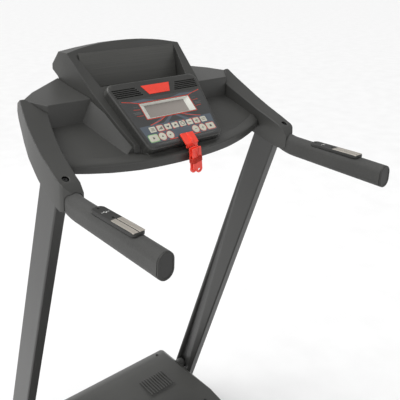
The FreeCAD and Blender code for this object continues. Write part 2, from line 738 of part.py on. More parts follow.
def key_lanyard():
    """Free stretch of the cord, from the key to its turns."""
    return to_console(tube_along(LANYARD, LANYARD_R))


# Handles -------------------------------------------------------------------------
GRIP_BEND = (-25.0, -50.0)         # (y, z) of the handle's bend, console coordinates
GRIP_START = (20.0, -29.5)
GRIP_END = (-285.0, -57.9)
GRIP_BEND_R = 109.0
POD_NEAR = -225.0
POD_FAR = -95.0
POD_HALF = 14.5


def racetrack(width, height, centre, along):
    """Oval section, upright, square to a direction in the Y-Z plane."""
    r = width / 2
    straight = height / 2 - r
    side = Vec(1, 0, 0)
    up = side.cross(along).normalize()
    if up.z < 0:
        up = up * -1
    high = centre + up * straight
    low = centre - up * straight
    top = Part.Arc(high - side * r, high + up * r, high + side * r).toShape()
    bottom = Part.Arc(low + side * r, low - up * r, low - side * r).toShape()
    right = Part.LineSegment(high + side * r, low + side * r).toShape()
    left = Part.LineSegment(low - side * r, high - side * r).toShape()
    return Part.Wire([top, right, bottom, left])


def handle_path(start, end):
    """Line, arc and line that the handle follows, in the plane x = 0."""
    first = Vec(0, *start)
    corner = Vec(0, *GRIP_BEND)
    last = Vec(0, *end)
    way_in = (corner - first).normalize()
    way_out = (last - corner).normalize()
    half_turn = way_in.getAngle(way_out) / 2
    reach = GRIP_BEND_R * math.tan(half_turn)
    to_centre = (way_out - way_in).normalize()
    middle = corner + to_centre * (GRIP_BEND_R / math.cos(half_turn) - GRIP_BEND_R)
    a = corner - way_in * reach
    b = corner + way_out * reach
    edges = [Part.LineSegment(first, a).toShape(), Part.Arc(a, middle, b).toShape(),
             Part.LineSegment(b, last).toShape()]
    return Part.Wire(edges), way_in


def to_handle(shape):
    """Turn a part made at x = 0 to the right-hand handle and put it in place."""
    shape.rotate(Vec(0, GRIP_START[0], 0), Vec(0, 0, 1), -HANDLE_TURN)
    shape.translate(Vec(HANDLE_X, 0, 0))
    return to_console(shape)


def swept_oval(width, height, start, end):
    """Solid oval bar along the handle."""
    path, way = handle_path(start, end)
    section = racetrack(width, height, Vec(0, *start), way)
    return to_handle(path.makePipeShell([section], True, True))


def grip_solid(grow=0.0):
    """Outside of the foam grip, or of the space round it."""
    return swept_oval(HANDLE_W + 2 * grow, HANDLE_H + 2 * grow, GRIP_START, GRIP_END)


def behind_upright(gap):
    """Space on the user's side of the upright's rear face."""
    half = UPRIGHT_DEPTH / 2 + gap
    low, high = CONSOLE_Z - 140, CONSOLE_Z + 60
    return prism_x([(upright_y(low, -half), low), (upright_y(high, -half), high),
                    (-200, high), (-200, low)], 280, 370)


def handle_tube():
    """Oval steel tube welded to the upright."""
    outer = swept_oval(HANDLE_TUBE_W, HANDLE_TUBE_H, GRIP_START, GRIP_END)
    wall = 2 * TUBE_WALL
    inner = swept_oval(HANDLE_TUBE_W - wall, HANDLE_TUBE_H - wall, (24.0, -27.68),
                       (GRIP_END[0] - 2, GRIP_END[1] - 0.06))
    return outer.cut(inner).common(behind_upright(0.0))


def pod_block(grow=0.0, low=-44.0, high=-24.8):
    """Rounded block of the pulse sensor, before it is put on the handle."""
    block = box(-POD_HALF - grow, POD_HALF + grow, POD_NEAR - grow, POD_FAR + grow, low, high)
    return rounded(block, 11.0 + grow, ALONG_Z)


def grip_foam():
    """Foam sleeve, notched for the pulse sensor."""
    outer = grip_solid()
    core = swept_oval(HANDLE_TUBE_W + 0.1, HANDLE_TUBE_H + 0.1, (24.0, -27.68),
                      (GRIP_END[0] - 2, GRIP_END[1] - 0.06))
    pod = to_handle(pod_block(0.1, -33.4, -10.0))
    return without(outer, [core, pod]).common(behind_upright(3.0))


def grip_cap():
    """Oval plug in the end of the grip."""
    plate = swept_section(HANDLE_W - 0.4, HANDLE_H - 0.4, GRIP_END[0], GRIP_END[0] - 4)
    panel = swept_section(HANDLE_W - 9, HANDLE_H - 9, GRIP_END[0] - 3.2, GRIP_END[0] - 5)
    plug = swept_section(HANDLE_TUBE_W - 4.4, HANDLE_TUBE_H - 4.4, GRIP_END[0] + 14,
                         GRIP_END[0])
    return to_handle(fused([plate.cut(panel), plug]))


def swept_section(width, height, y0, y1):
    """Short oval bar at the handle's end, made at x = 0."""
    wire = racetrack(width, height, Vec(0, y0, GRIP_END[1]), Vec(0, -1, 0))
    return Part.Face(wire).extrude(Vec(0, y1 - y0, 0))


def pulse_pod():
    """Sensor housing on the grip, with seats for its two plates and screws."""
    pod = pod_block(0.0, -31.9, -25.0)
    top = [edge for edge in pod.Edges if edge.BoundBox.ZMin > -25.01]
    pod = pod.makeFillet(2.0, top)
    seats = [box(sign * 0.9, sign * 13.1, -222, -158, -26.2, -24) for sign in (1, -1)]
    holes = [cylinder(2.7, (0, y, -29), (0, y, -20)) for y in (-104.0, -150.0)]
    return to_handle(without(pod, seats + holes))


def pulse_plates():
    """Two steel contact plates side by side."""
    plates = []
    for sign in (1, -1):
        plate = rounded(box(sign * 1.1, sign * 12.9, -221.8, -158.2, -26.2, -24.7), 1.5, ALONG_Z)
        plates.append(to_handle(plate))
    return plates


def pod_screws():
    """Screws that hold the sensor housing."""
    screws = []
    for y in (-104.0, -150.0):
        head = cylinder(2.6, (0, y, -29), (0, y, -27))
        screws.append(to_handle(head.cut(box(-2, 2, y - 0.4, y + 0.4, -27.6, -26))))
    return screws


# Deck frame ----------------------------------------------------------------------
CROSS_TUBES = ((-640.0, -610.0), (-215.0, -185.0), (200.0, 228.0))
CROSS_TOP = 103.0


def deck_side_tube():
    """Long side tube with the holes of both roller axles."""
    tube = box_tube(SIDE_IN, SIDE_OUT, DECK_REAR + 12, 622.0, SIDE_LOW, SIDE_TOP, ALONG_Y)
    holes = [x_bar(AXLE_R, SIDE_IN - 1, SIDE_IN + 14, y, ROLLER_Z)
             for y in (FRONT_ROLLER_Y, REAR_ROLLER_Y)]
    return without(tube, holes)


def deck_cross_tubes():
    """Tubes that join the two side tubes."""
    return [box_tube(-SIDE_IN, SIDE_IN, y0, y1, SIDE_LOW, CROSS_TOP, ALONG_X, 3.0)
            for y0, y1 in CROSS_TUBES]


def board_ledge():
    """Angle welded inside the side tube to carry the board."""
    shelf = box(224, SIDE_IN, -660, 376, 130, 134)
    leg = box(SIDE_IN - 4, SIDE_IN, -660, 376, 112, 130)
    return fused([shelf, leg])


def deck_cushions():
    """Rubber mounts between the ledges and the board."""
    cushions = []
    for y in (-600.0, -360.0, -120.0, 120.0, 340.0):
        block = rounded(box(227, 245, y - 15, y + 15, 134, BOARD_LOW), 5.0, ALONG_Z)
        cushions += [block, mirrored(block)]
    return cushions


def deck_board():
    """Running board."""
    return rounded(box(-246, 246, -668, 378, BOARD_LOW, BOARD_TOP), 5.0, ALONG_X)


def loop_x(y0, z0, r0, y1, z1, r1, x0, x1):
    """Solid bar shaped like a belt pulled round two circles."""
    gap = math.hypot(y1 - y0, z1 - z0)
    base = math.atan2(z1 - z0, y1 - y0)
    spread = math.acos((r0 - r1) / gap)

    def on(y, z, r, angle):
        return Vec(x0, y + r * math.cos(angle), z + r * math.sin(angle))

    up0, up1 = on(y0, z0, r0, base + spread), on(y1, z1, r1, base + spread)
    low0, low1 = on(y0, z0, r0, base - spread), on(y1, z1, r1, base - spread)
    far0, far1 = on(y0, z0, r0, base + math.pi), on(y1, z1, r1, base)
    edges = [Part.Arc(low0, far0, up0).toShape(), Part.LineSegment(up0, up1).toShape(),
             Part.Arc(up1, far1, low1).toShape(), Part.LineSegment(low1, low0).toShape()]
    return Part.Face(Part.Wire(edges)).extrude(Vec(x1 - x0, 0, 0))


def running_belt():
    """Endless belt round the two rollers and the board."""
    ends = (REAR_ROLLER_Y, ROLLER_Z, FRONT_ROLLER_Y, ROLLER_Z)
    outer = BELT_IN_R + BELT_T
    band = loop_x(ends[0], ends[1], outer, ends[2], ends[3], outer, -BELT_HALF, BELT_HALF)
    space = loop_x(ends[0], ends[1], BELT_IN_R, ends[2], ends[3], BELT_IN_R,
                   -BELT_HALF - 1, BELT_HALF + 1)
    return band.cut(space)


def roller(y):
    """Roller drum with stepped ends and a bore for its axle."""
    drum = x_bar(ROLLER_R, -209, 209, y, ROLLER_Z)
    bore = x_bar(AXLE_R + RUN_FIT, -210, 210, y, ROLLER_Z)
    steps = [ring(19.0, 12.0, (x0, y, ROLLER_Z), (x1, y, ROLLER_Z))
             for x0, x1 in ((-210, -203), (203, 210))]
    return without(drum, steps + [bore])


def roller_axle(y):
    """Fixed axle held by the side tubes."""
    return x_bar(AXLE_R, -SIDE_IN - 12, SIDE_IN + 12, y, ROLLER_Z)


def ribbed_pulley(radius, bore, y, z):
    """Pulley with flanges and grooves for a ribbed belt."""
    body = x_bar(radius, -PULLEY_OUT, -PULLEY_IN, y, z)
    grooves = []
    for i in range(5):
        x = -PULLEY_OUT + 4.0 + i * 3.2
        grooves.append(ring(radius + 1, radius - 1.2, (x, y, z), (x + 1.4, y, z)))
    return without(body, grooves + [x_bar(bore, -PULLEY_OUT - 1, -PULLEY_IN + 1, y, z)])


def roller_pulley():
    """Driven pulley, joined to the front roller's end by a hub."""
    body = ribbed_pulley(ROLLER_PULLEY_R, AXLE_R + RUN_FIT, FRONT_ROLLER_Y, ROLLER_Z)
    hub = ring(14.0, AXLE_R + RUN_FIT, (-PULLEY_IN, FRONT_ROLLER_Y, ROLLER_Z),
               (-209, FRONT_ROLLER_Y, ROLLER_Z))
    return fused([body, hub])


def drive_belt():
    """Ribbed belt from the motor to the front roller."""
    ends = (FRONT_ROLLER_Y, ROLLER_Z, MOTOR_Y, MOTOR_Z)
    x0, x1 = -PULLEY_OUT + 2, -PULLEY_IN - 2
    shapes = []
    for grow, cut in ((3.3, 0.0), (0.3, 1.0)):
        shapes.append(loop_x(ends[0], ends[1], ROLLER_PULLEY_R + grow, ends[2], ends[3],
                             MOTOR_PULLEY_R + grow, x0 - cut, x1 + cut))
    return shapes[0].cut(shapes[1])


def pivot_bracket():
    """Plate on the side tube that turns on the pivot bolt."""
    outline = [(556, 96), (624, 96), (624, 150), (612, 180), (600, 187), (580, 187), (568, 180),
               (556, 150)]
    plate = prism_x(outline, SIDE_OUT, SIDE_OUT + 6)
    return plate.cut(x_bar(PIVOT_R + RUN_FIT, SIDE_OUT - 1, SIDE_OUT + 7, PIVOT_Y, PIVOT_Z))


# Deck covers ---------------------------------------------------------------------
HOOD_SIDE = [(336, 150), (336, 166), (348, 173), (430, 190), (560, 207), (600, 209), (636, 203),
             (676, 180), (690, 158), (690, 150)]


def foot_rail():
    """Side strip to stand on, with a skirt down the deck's side."""
    top = box(FOOT_RAIL_IN, DECK_OUT - 1, CAP_FRONT, FOOT_RAIL_FRONT, BOARD_TOP, FOOT_RAIL_TOP)
    top = rounded(top, 3.0, ALONG_Y)
    hollow = box(FOOT_RAIL_IN + 3, DECK_OUT - 4, CAP_FRONT - 1, FOOT_RAIL_FRONT + 1,
                 BOARD_TOP + 2.5, FOOT_RAIL_TOP - 3)
    skirt = box(DECK_OUT - 5, DECK_OUT - 1, CAP_FRONT, FOOT_RAIL_FRONT, 112, BOARD_TOP + 4)
    return fused([top, skirt]).cut(hollow)


def rear_cap():
    """Corner cover over the roller's end and the side tube's end."""
    outline = [(DECK_REAR, 40), (DECK_REAR, 150), (DECK_REAR + 12, 166), (DECK_REAR + 24, 169),
               (CAP_FRONT, 169), (CAP_FRONT, 40), (CAP_FRONT - 10, 30), (DECK_REAR + 10, 30)]
    outer = prism_x(outline, 211.0, DECK_OUT)
    inside = [(DECK_REAR + 4, 44), (DECK_REAR + 4, 149), (DECK_REAR + 14, 162),
              (DECK_REAR + 26, 165), (CAP_FRONT + 5, 165), (CAP_FRONT + 5, 34),
              (DECK_REAR + 14, 34)]
    cavity = prism_x(inside, 207.0, DECK_OUT - 3)
    return outer.cut(cavity)


def rear_foot():
    """Rubber foot on a steel stub under the side tube."""
    y = -706.0
    foot = cylinder(22.0, (262, y, 0), (262, y, 29.7))
    lip = [edge for edge in foot.Edges if edge.BoundBox.ZMax < 0.01]
    return foot.makeFillet(3.0, lip)


def foot_stub():
    """Steel stub from the side tube down to the rubber foot."""
    return ring(12.0, 9.0, (262, -706, 34.3), (262, -706, SIDE_LOW))


def motor_hood():
    """Cover over the motor, with a bevelled side and a hole round each pivot."""
    outer = prism_x(HOOD_SIDE, -DECK_OUT, DECK_OUT)
    low = 150.0
    edge = [(-DECK_OUT, low - 1), (-DECK_OUT, 186), (-262, 210), (262, 210), (DECK_OUT, 186),
            (DECK_OUT, low - 1)]
    outer = outer.common(prism_y(edge, 300, 720))
    inner_side = [(333, 148), (333, 158.5), (339, 163), (349, 169.5), (430, 186.5), (560, 203.5), (600, 205.5),
                  (634, 199.6), (673, 177.6), (686, 157), (686, 148)]
    inner = prism_x(inner_side, -DECK_OUT + 3.4, DECK_OUT - 3.4)
    inner_edge = [(-DECK_OUT + 3.4, 140), (-DECK_OUT + 3.4, 184.6), (-261, 206.5),
                  (261, 206.5), (DECK_OUT - 3.4, 184.6), (DECK_OUT - 3.4, 140)]
    inner = inner.common(prism_y(inner_edge, 300, 720))
    bosses = x_bar(18.0, -DECK_OUT - 1, DECK_OUT + 1, PIVOT_Y, PIVOT_Z)
    return without(outer, [inner, bosses])


def hood_screws():
    """Four screws in the hood's top."""
    screws = []
    for x in (-240.0, 240.0):
        for y, z in ((400.0, 184.4), (640.0, 201.4)):
            head = cylinder(5.0, (x, y, z - 1.5), (x, y, z + 1.6))
            slot = box(x - 3, x + 3, y - 0.6, y + 0.6, z + 0.6, z + 3)
            screws.append(head.cut(slot))
    return screws


def belly_pan():
    """Tray under the motor, with the front wall that holds the switch and inlet."""
    floor = box(-SIDE_IN + 0.5, SIDE_IN - 0.5, 450, 682, 90, 93)
    wall = box(-283, 283, 682, 686, 90, 149.5)
    opening = [inlet_hole(), switch_hole(), breaker_hole()]
    return without(fused([floor, wall]), opening)


INLET_X = -200.0
SWITCH_X = -150.0
BREAKER_X = -110.0
PANEL_FITTING_Z = 120.0
SWITCH_PIVOT_Y = 681.0
ROCKER_TIP = 8.0                   # the rocker rests tipped this far, in degrees


def inlet_hole():
    """Opening for the mains inlet."""
    return box(INLET_X - 14, INLET_X + 14, 680, 688, PANEL_FITTING_Z - 10, PANEL_FITTING_Z + 10)


def switch_hole():
    """Opening for the power switch."""
    return box(SWITCH_X - 7, SWITCH_X + 7, 680, 688, PANEL_FITTING_Z - 12, PANEL_FITTING_Z + 12)


def breaker_hole():
    """Opening for the reset button."""
    return cylinder(7.0, (BREAKER_X, 680, PANEL_FITTING_Z), (BREAKER_X, 688, PANEL_FITTING_Z))


def power_inlet():
    """Three-pin mains inlet."""
    z = PANEL_FITTING_Z
    body = box(INLET_X - 13.8, INLET_X + 13.8, 664, 688, z - 9.8, z + 9.8)
    flange = box(INLET_X - 20, INLET_X + 20, 686, 689, z - 12, z + 12)
    well = box(INLET_X - 11.5, INLET_X + 11.5, 672, 690, z - 7.5, z + 7.5)
    pins = [box(INLET_X + dx - 1, INLET_X + dx + 1, 670, 685, z + dz - 2, z + dz + 2)
            for dx, dz in ((-7, -1), (7, -1), (0, 3))]
    return fused([fused([body, flange]).cut(well)] + pins)


PIN_R = 1.2                        # the rocker's pivot pins


def switch_bezel():
    """Frame of the power switch."""
    z = PANEL_FITTING_Z
    body = box(SWITCH_X - 6.8, SWITCH_X + 6.8, 668, 688, z - 11.8, z + 11.8)
    flange = box(SWITCH_X - 9, SWITCH_X + 9, 686, 688, z - 14, z + 14)
    well = box(SWITCH_X - 5.4, SWITCH_X + 5.4, 672, 690, z - 10.4, z + 10.4)
    pin = x_bar(PIN_R + RUN_FIT, SWITCH_X - 6.4, SWITCH_X + 6.4, SWITCH_PIVOT_Y, z)
    return without(fused([body, flange]), [well, pin])


def switch_rocker():
    """Rocker that tips about its middle."""
    z = PANEL_FITTING_Z
    outline = [(677, z - 5), (677, z + 5), (685, z + 8.8), (689, z + 8.8), (686.4, z),
               (689, z - 8.8), (685, z - 8.8)]
    plate = prism_x(outline, SWITCH_X - 5.0, SWITCH_X + 5.0)
    pin = x_bar(PIN_R, SWITCH_X - 6.2, SWITCH_X + 6.2, SWITCH_PIVOT_Y, z)
    rocker = fused([plate, pin])
    rocker.rotate(Vec(SWITCH_X, SWITCH_PIVOT_Y, z), Vec(1, 0, 0), -ROCKER_TIP)
    return rocker


def breaker_body():
    """Overload breaker behind the reset button."""
    z = PANEL_FITTING_Z
    collar = ring(6.9, 4.4, (BREAKER_X, 680, z), (BREAKER_X, 688.5, z))
    nut = ring(10.0, 6.9, (BREAKER_X, 686, z), (BREAKER_X, 688, z))
    block = box(BREAKER_X - 10, BREAKER_X + 10, 652, 676, z - 14, z + 14)
    neck = ring(8.0, 4.4, (BREAKER_X, 676, z), (BREAKER_X, 681.9, z))
    return fused([fused([collar, nut, neck]), block])


def breaker_button():
    """Reset button that is pressed in."""
    z = PANEL_FITTING_Z
    return cylinder(4.1, (BREAKER_X, 679, z), (BREAKER_X, 691.0, z))


# Drive ---------------------------------------------------------------------------
def motor_body():
    """Motor case with end bells."""
    case = x_bar(MOTOR_R, -196, -60, MOTOR_Y, MOTOR_Z)
    bells = [x_bar(MOTOR_R - 3, -203, -196, MOTOR_Y, MOTOR_Z),
             x_bar(MOTOR_R - 3, -60, -53, MOTOR_Y, MOTOR_Z)]
    bore = x_bar(6.0 + RUN_FIT, -210, -40, MOTOR_Y, MOTOR_Z)
    chamber = x_bar(MOTOR_R - 6, -190, -66, MOTOR_Y, MOTOR_Z)
    return fused([case] + bells).cut(bore).cut(chamber)


def motor_mount():
    """Cradle that bolts the motor to the pan."""
    plate = box(-190, -66, 490, 590, 93, 96.5)
    legs = []
    for x0 in (-186.0, -82.0):
        web = box(x0, x0 + 12, 505, 575, 96.5, 130)
        legs.append(web.cut(x_bar(MOTOR_R, x0 - 1, x0 + 13, MOTOR_Y, MOTOR_Z)))
    return fused([plate] + legs).cut(x_bar(MOTOR_R, -200, -60, MOTOR_Y, MOTOR_Z))


def motor_rotor():
    """Shaft with the armature inside the case."""
    shaft = x_bar(6.0, -PULLEY_OUT, -30, MOTOR_Y, MOTOR_Z)
    armature = x_bar(MOTOR_R - 12, -180, -80, MOTOR_Y, MOTOR_Z)
    return fused([shaft, armature])


def motor_pulley():
    """Small driving pulley."""
    return ribbed_pulley(MOTOR_PULLEY_R, 6.0, MOTOR_Y, MOTOR_Z)


def flywheel():
    """Flywheel with cooling blades on the motor's far end."""
    disc = ring(41.0, 6.0, (-44, MOTOR_Y, MOTOR_Z), (-34, MOTOR_Y, MOTOR_Z))
    holes = []
    for i in range(6):
        angle = math.pi / 3 * i
        y = MOTOR_Y + 26 * math.cos(angle)
        z = MOTOR_Z + 26 * math.sin(angle)
        holes.append(x_bar(7.0, -50, -30, y, z))
    return without(disc, holes)


def motor_controller():
    """Drive board with its finned heat sink and capacitors."""
    board = box(40, 220, 500, 620, 101, 103)
    posts = [cylinder(4, (x, y, 93), (x, y, 101)) for x in (50, 210) for y in (510, 610)]
    sink = box(60, 200, 590, 612, 103, 106)
    fins = [box(60, 200, 590 + 4 * i, 592 + 4 * i, 106, 136) for i in range(6)]
    cans = [cylinder(14, (x, 540, 103), (x, 540, 145)) for x in (80, 115)]
    coil = ring(16, 7, (170, 545, 103), (170, 545, 118))
    return fused([board, sink, coil] + posts + fins + cans)


# Fold strut ----------------------------------------------------------------------
def strut_base_bracket():
    """Two ears on the low cross tube, with the strut's pin."""
    y, z = STRUT_BASE
    ears = []
    for x0, x1 in ((11.0, 15.0), (-15.0, -11.0)):
        plate = prism_x([(STRUT_TUBE[0] + 2, STRUT_TUBE_TOP), (STRUT_TUBE[1] - 2, STRUT_TUBE_TOP),
                         (y + 10, z + 6), (y + 4, z + 11), (y - 4, z + 11), (y - 10, z + 6)],
                        x0, x1)
        ears.append(plate)
    pin = x_bar(5.0, -17, 17, y, z)
    return fused(ears + [pin])


def strut_way():
    """Strut's length and direction with the deck down."""
    dy = STRUT_DECK[0] - STRUT_BASE[0]
    dz = STRUT_DECK[1] - STRUT_BASE[1]
    length = math.hypot(dy, dz)
    return length, dy / length, dz / length


def strut_point(distance):
    """Point on the strut's axis at a distance from its base pin."""
    length, dy, dz = strut_way()
    return (0.0, STRUT_BASE[0] + dy * distance, STRUT_BASE[1] + dz * distance)


def strut_cylinder():
    """Outer tube of the damped strut, with its lower eye."""
    y, z = STRUT_BASE
    eye = x_bar(10.0, -10.0, 10.0, y, z)
    neck = cylinder(7.0, strut_point(6), strut_point(20))
    body = cylinder(STRUT_R, strut_point(18), strut_point(18 + STRUT_TUBE_LENGTH))
    bore = cylinder(5.0 + RUN_FIT, strut_point(70), strut_point(19 + STRUT_TUBE_LENGTH))
    hole = x_bar(5.0 + RUN_FIT, -12, 12, y, z)
    return without(fused([eye, neck, body]), [bore, hole])


def strut_rod():
    """Rod of the damped strut, with its upper eye."""
    length = strut_way()[0]
    y, z = STRUT_DECK
    eye = x_bar(10.0, -9.0, 9.0, y, z)
    rod = cylinder(5.0, strut_point(76), strut_point(length - 4))
    nut = cylinder(8.0, strut_point(length - 20), strut_point(length - 8))
    return fused([eye, rod, nut]).cut(x_bar(5.2, -12, 12, y, z))


def strut_deck_bracket():
    """Two ears on the deck's cross tube, one each side of the rod's eye."""
    y, z = STRUT_DECK
    back = CROSS_TUBES[2][1]
    ears = []
    for x0, x1 in ((10.0, 15.0), (-15.0, -10.0)):
        plate = prism_x([(back, SIDE_LOW + 1), (back, CROSS_TOP - 1), (y, 101), (y + 12, z + 10),
                         (y + 12, z - 8), (y + 4, z - 12), (y - 8, z - 12)], x0, x1)
        ears.append(plate)
    bolts = [x_bar(7.0, 15.0, 20.0, y, z), x_bar(7.0, -20.0, -15.0, y, z)]
    return [fused([ears[0], bolts[0]]), fused([ears[1], bolts[1]])]


# Write every node ----------------------------------------------------------------
def save_base():
    """Base, uprights and wheels."""
    save("base_side_rails", [base_side_rail(), mirrored(base_side_rail())])
    save("base_cross_tubes", base_cross_tubes())
    save("base_end_caps", base_end_caps())
    save("base_pads", base_pads())
    save_pair("transport_wheel", wheel())
    save("wheel_axles", [wheel_axle(), mirrored(wheel_axle())])
    post = [upright(), pivot_boss()] + upright_gusset()
    save("uprights", post + [mirrored(solid) for solid in post])
    save("pivot_bolts", [pivot_bolt(), mirrored(pivot_bolt())])


def save_console():
    """Console mouldings, display and safety key."""
    save("console_arms", [console_arm(), mirrored(console_arm())])
    save("arm_screws", [arm_screw(), mirrored(arm_screw())])
    save("console_tray", console_tray())
    save("console_hood", console_hood())
    save("hood_back_cover", hood_back_cover())
    save("tablet_panel", tablet_panel())
    save("console_bottom_cover", console_bottom())
    save("display_housing", display_housing())
    save("keypad_overlay", keypad_overlay())
    save("emblem_plate", emblem_plate())
    save("lcd_bezel", lcd_bezel())
    save("lcd_screen", lcd_screen())
    save("display_board", display_board())
    save("speakers", [speaker(), mirrored(speaker())])
    save("key_socket", key_socket())
    save("safety_key", safety_key())
    save("key_clip", key_clip())
    save("key_lanyard", key_lanyard())
    save("key_lanyard_winding", key_winding())


def save_handles():
    """Handles, foam grips and pulse sensors."""
    save("handle_tubes", [handle_tube(), mirrored(handle_tube())])
    save("grip_foams", [grip_foam(), mirrored(grip_foam())])
    save("grip_end_caps", [grip_cap(), mirrored(grip_cap())])
    save("pulse_pods", [pulse_pod(), mirrored(pulse_pod())])
    plates = pulse_plates()
    save("pulse_plates", plates + [mirrored(plate) for plate in plates])
    screws = pod_screws()
    save("pod_screws", screws + [mirrored(screw) for screw in screws])


def save_deck():
    """Folding deck with its rollers, belt and covers."""
    side = [deck_side_tube(), pivot_bracket(), foot_stub(), board_ledge()]
    save("deck_side_tubes", side + [mirrored(solid) for solid in side])
    save("deck_cross_tubes", deck_cross_tubes() + strut_deck_bracket())
    save("deck_cushions", deck_cushions())
    save("deck_board", deck_board())
    save("running_belt", running_belt())
    save("front_roller", fused([roller(FRONT_ROLLER_Y), roller_pulley()]))
    save("rear_roller", roller(REAR_ROLLER_Y))
    save("roller_axles", [roller_axle(FRONT_ROLLER_Y), roller_axle(REAR_ROLLER_Y)])
    save("drive_belt", drive_belt())
    save("foot_rails", [foot_rail(), mirrored(foot_rail())])
    save("rear_caps", [rear_cap(), mirrored(rear_cap())])
    save("rear_feet", [rear_foot(), mirrored(rear_foot())])
    save("motor_hood", motor_hood())
    save("hood_screws", hood_screws())
    save("belly_pan", belly_pan())


def save_drive():
    """Motor, electrics and fold strut."""
    save("motor_body", motor_body())
    save("motor_mount", motor_mount())
    save("motor_rotor", fused([motor_rotor(), motor_pulley(), flywheel()]))
    save("motor_controller", motor_controller())
    save("power_inlet", power_inlet())
    save("switch_bezel", switch_bezel())
    save("switch_rocker", switch_rocker())
    save("breaker_body", breaker_body())
    save("breaker_button", breaker_button())
    save("strut_cylinder", strut_cylinder())
    save("strut_rod", strut_rod())


os.makedirs("parts", exist_ok=True)
save_base()
save_console()
save_handles()
save_deck()
save_drive()
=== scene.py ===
"""Looks of the folding home treadmill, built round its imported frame.

Every size below is in millimetres unless its name says otherwise. Console shapes
are given about the point midway between the two arm screws.
"""

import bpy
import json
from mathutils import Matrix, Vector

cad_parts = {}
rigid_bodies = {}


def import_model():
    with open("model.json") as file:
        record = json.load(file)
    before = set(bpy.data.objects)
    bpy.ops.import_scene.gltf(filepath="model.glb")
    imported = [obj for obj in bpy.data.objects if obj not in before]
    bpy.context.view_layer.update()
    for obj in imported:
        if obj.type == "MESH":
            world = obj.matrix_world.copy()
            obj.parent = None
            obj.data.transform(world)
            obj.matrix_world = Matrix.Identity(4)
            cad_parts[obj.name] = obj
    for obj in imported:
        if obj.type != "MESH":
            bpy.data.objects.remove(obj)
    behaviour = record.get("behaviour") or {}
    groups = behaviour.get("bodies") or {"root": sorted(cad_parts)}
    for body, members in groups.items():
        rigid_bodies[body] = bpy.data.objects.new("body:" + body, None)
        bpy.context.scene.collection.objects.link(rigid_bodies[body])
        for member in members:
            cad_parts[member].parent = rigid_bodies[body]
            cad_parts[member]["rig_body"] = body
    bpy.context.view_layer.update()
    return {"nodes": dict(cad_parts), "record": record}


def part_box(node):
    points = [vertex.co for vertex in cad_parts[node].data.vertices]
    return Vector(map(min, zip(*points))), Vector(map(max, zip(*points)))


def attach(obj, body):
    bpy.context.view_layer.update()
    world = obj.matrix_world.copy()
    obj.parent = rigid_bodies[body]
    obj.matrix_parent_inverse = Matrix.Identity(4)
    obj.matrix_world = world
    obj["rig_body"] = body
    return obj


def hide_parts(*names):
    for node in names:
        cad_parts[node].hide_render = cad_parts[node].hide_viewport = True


bl_info = {
    "name": "Folding treadmill",
    "version": (1, 0, 0),
    "blender": (4, 5, 0),
    "location": "3D View > Sidebar > Treadmill",
    "description": "Builds the visible pieces of a folding home treadmill",
    "category": "Add Mesh",
}

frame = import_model()

import json
import math

import bmesh
import bpy
from mathutils import Matrix, Vector

MM = 0.001
PANEL_SLOPE = math.radians(41.9)
SHARP_ANGLE = math.radians(28.0)
CHAIN_TURN = math.radians(35.0)


# Places taken from the frame ------------------------------------------------------
CONSOLE_AT = Vector((0.0, 0.250, 1.120))      # midway between the arm screws
PANEL_AT = CONSOLE_AT + Vector((0.0, 18.6, 21.6)) * MM


def console(x, y, z):
    """Point given in the console's own millimetres, in metres in the frame."""
    return CONSOLE_AT + Vector((x, y, z)) * MM


def panel(x, v, n):
    """Point on the display's face: across, up the slope and outwards."""
    rise = Vector((0, math.cos(PANEL_SLOPE), math.sin(PANEL_SLOPE)))
    out = Vector((0, -math.sin(PANEL_SLOPE), math.cos(PANEL_SLOPE)))
    return PANEL_AT + (Vector((x, 0, 0)) + rise * v + out * n) * MM


# Shader writing -------------------------------------------------------------------
class Value:
    """A shader socket that Python's arithmetic works on."""

    def __init__(self, graph, socket):
        self.graph = graph
        self.socket = socket

    def maths(self, operation, first, second):
        return self.graph.node("ShaderNodeMath", {"operation": operation}, [first, second])

    def __add__(self, other):
        return self.maths("ADD", self, other)

    def __radd__(self, other):
        return self.maths("ADD", other, self)

    def __sub__(self, other):
        return self.maths("SUBTRACT", self, other)

    def __rsub__(self, other):
        return self.maths("SUBTRACT", other, self)

    def __mul__(self, other):
        return self.maths("MULTIPLY", self, other)

    def __rmul__(self, other):
        return self.maths("MULTIPLY", other, self)

    def __truediv__(self, other):
        return self.maths("DIVIDE", self, other)

    def __rtruediv__(self, other):
        return self.maths("DIVIDE", other, self)

    def __pow__(self, other):
        return self.maths("POWER", self, other)


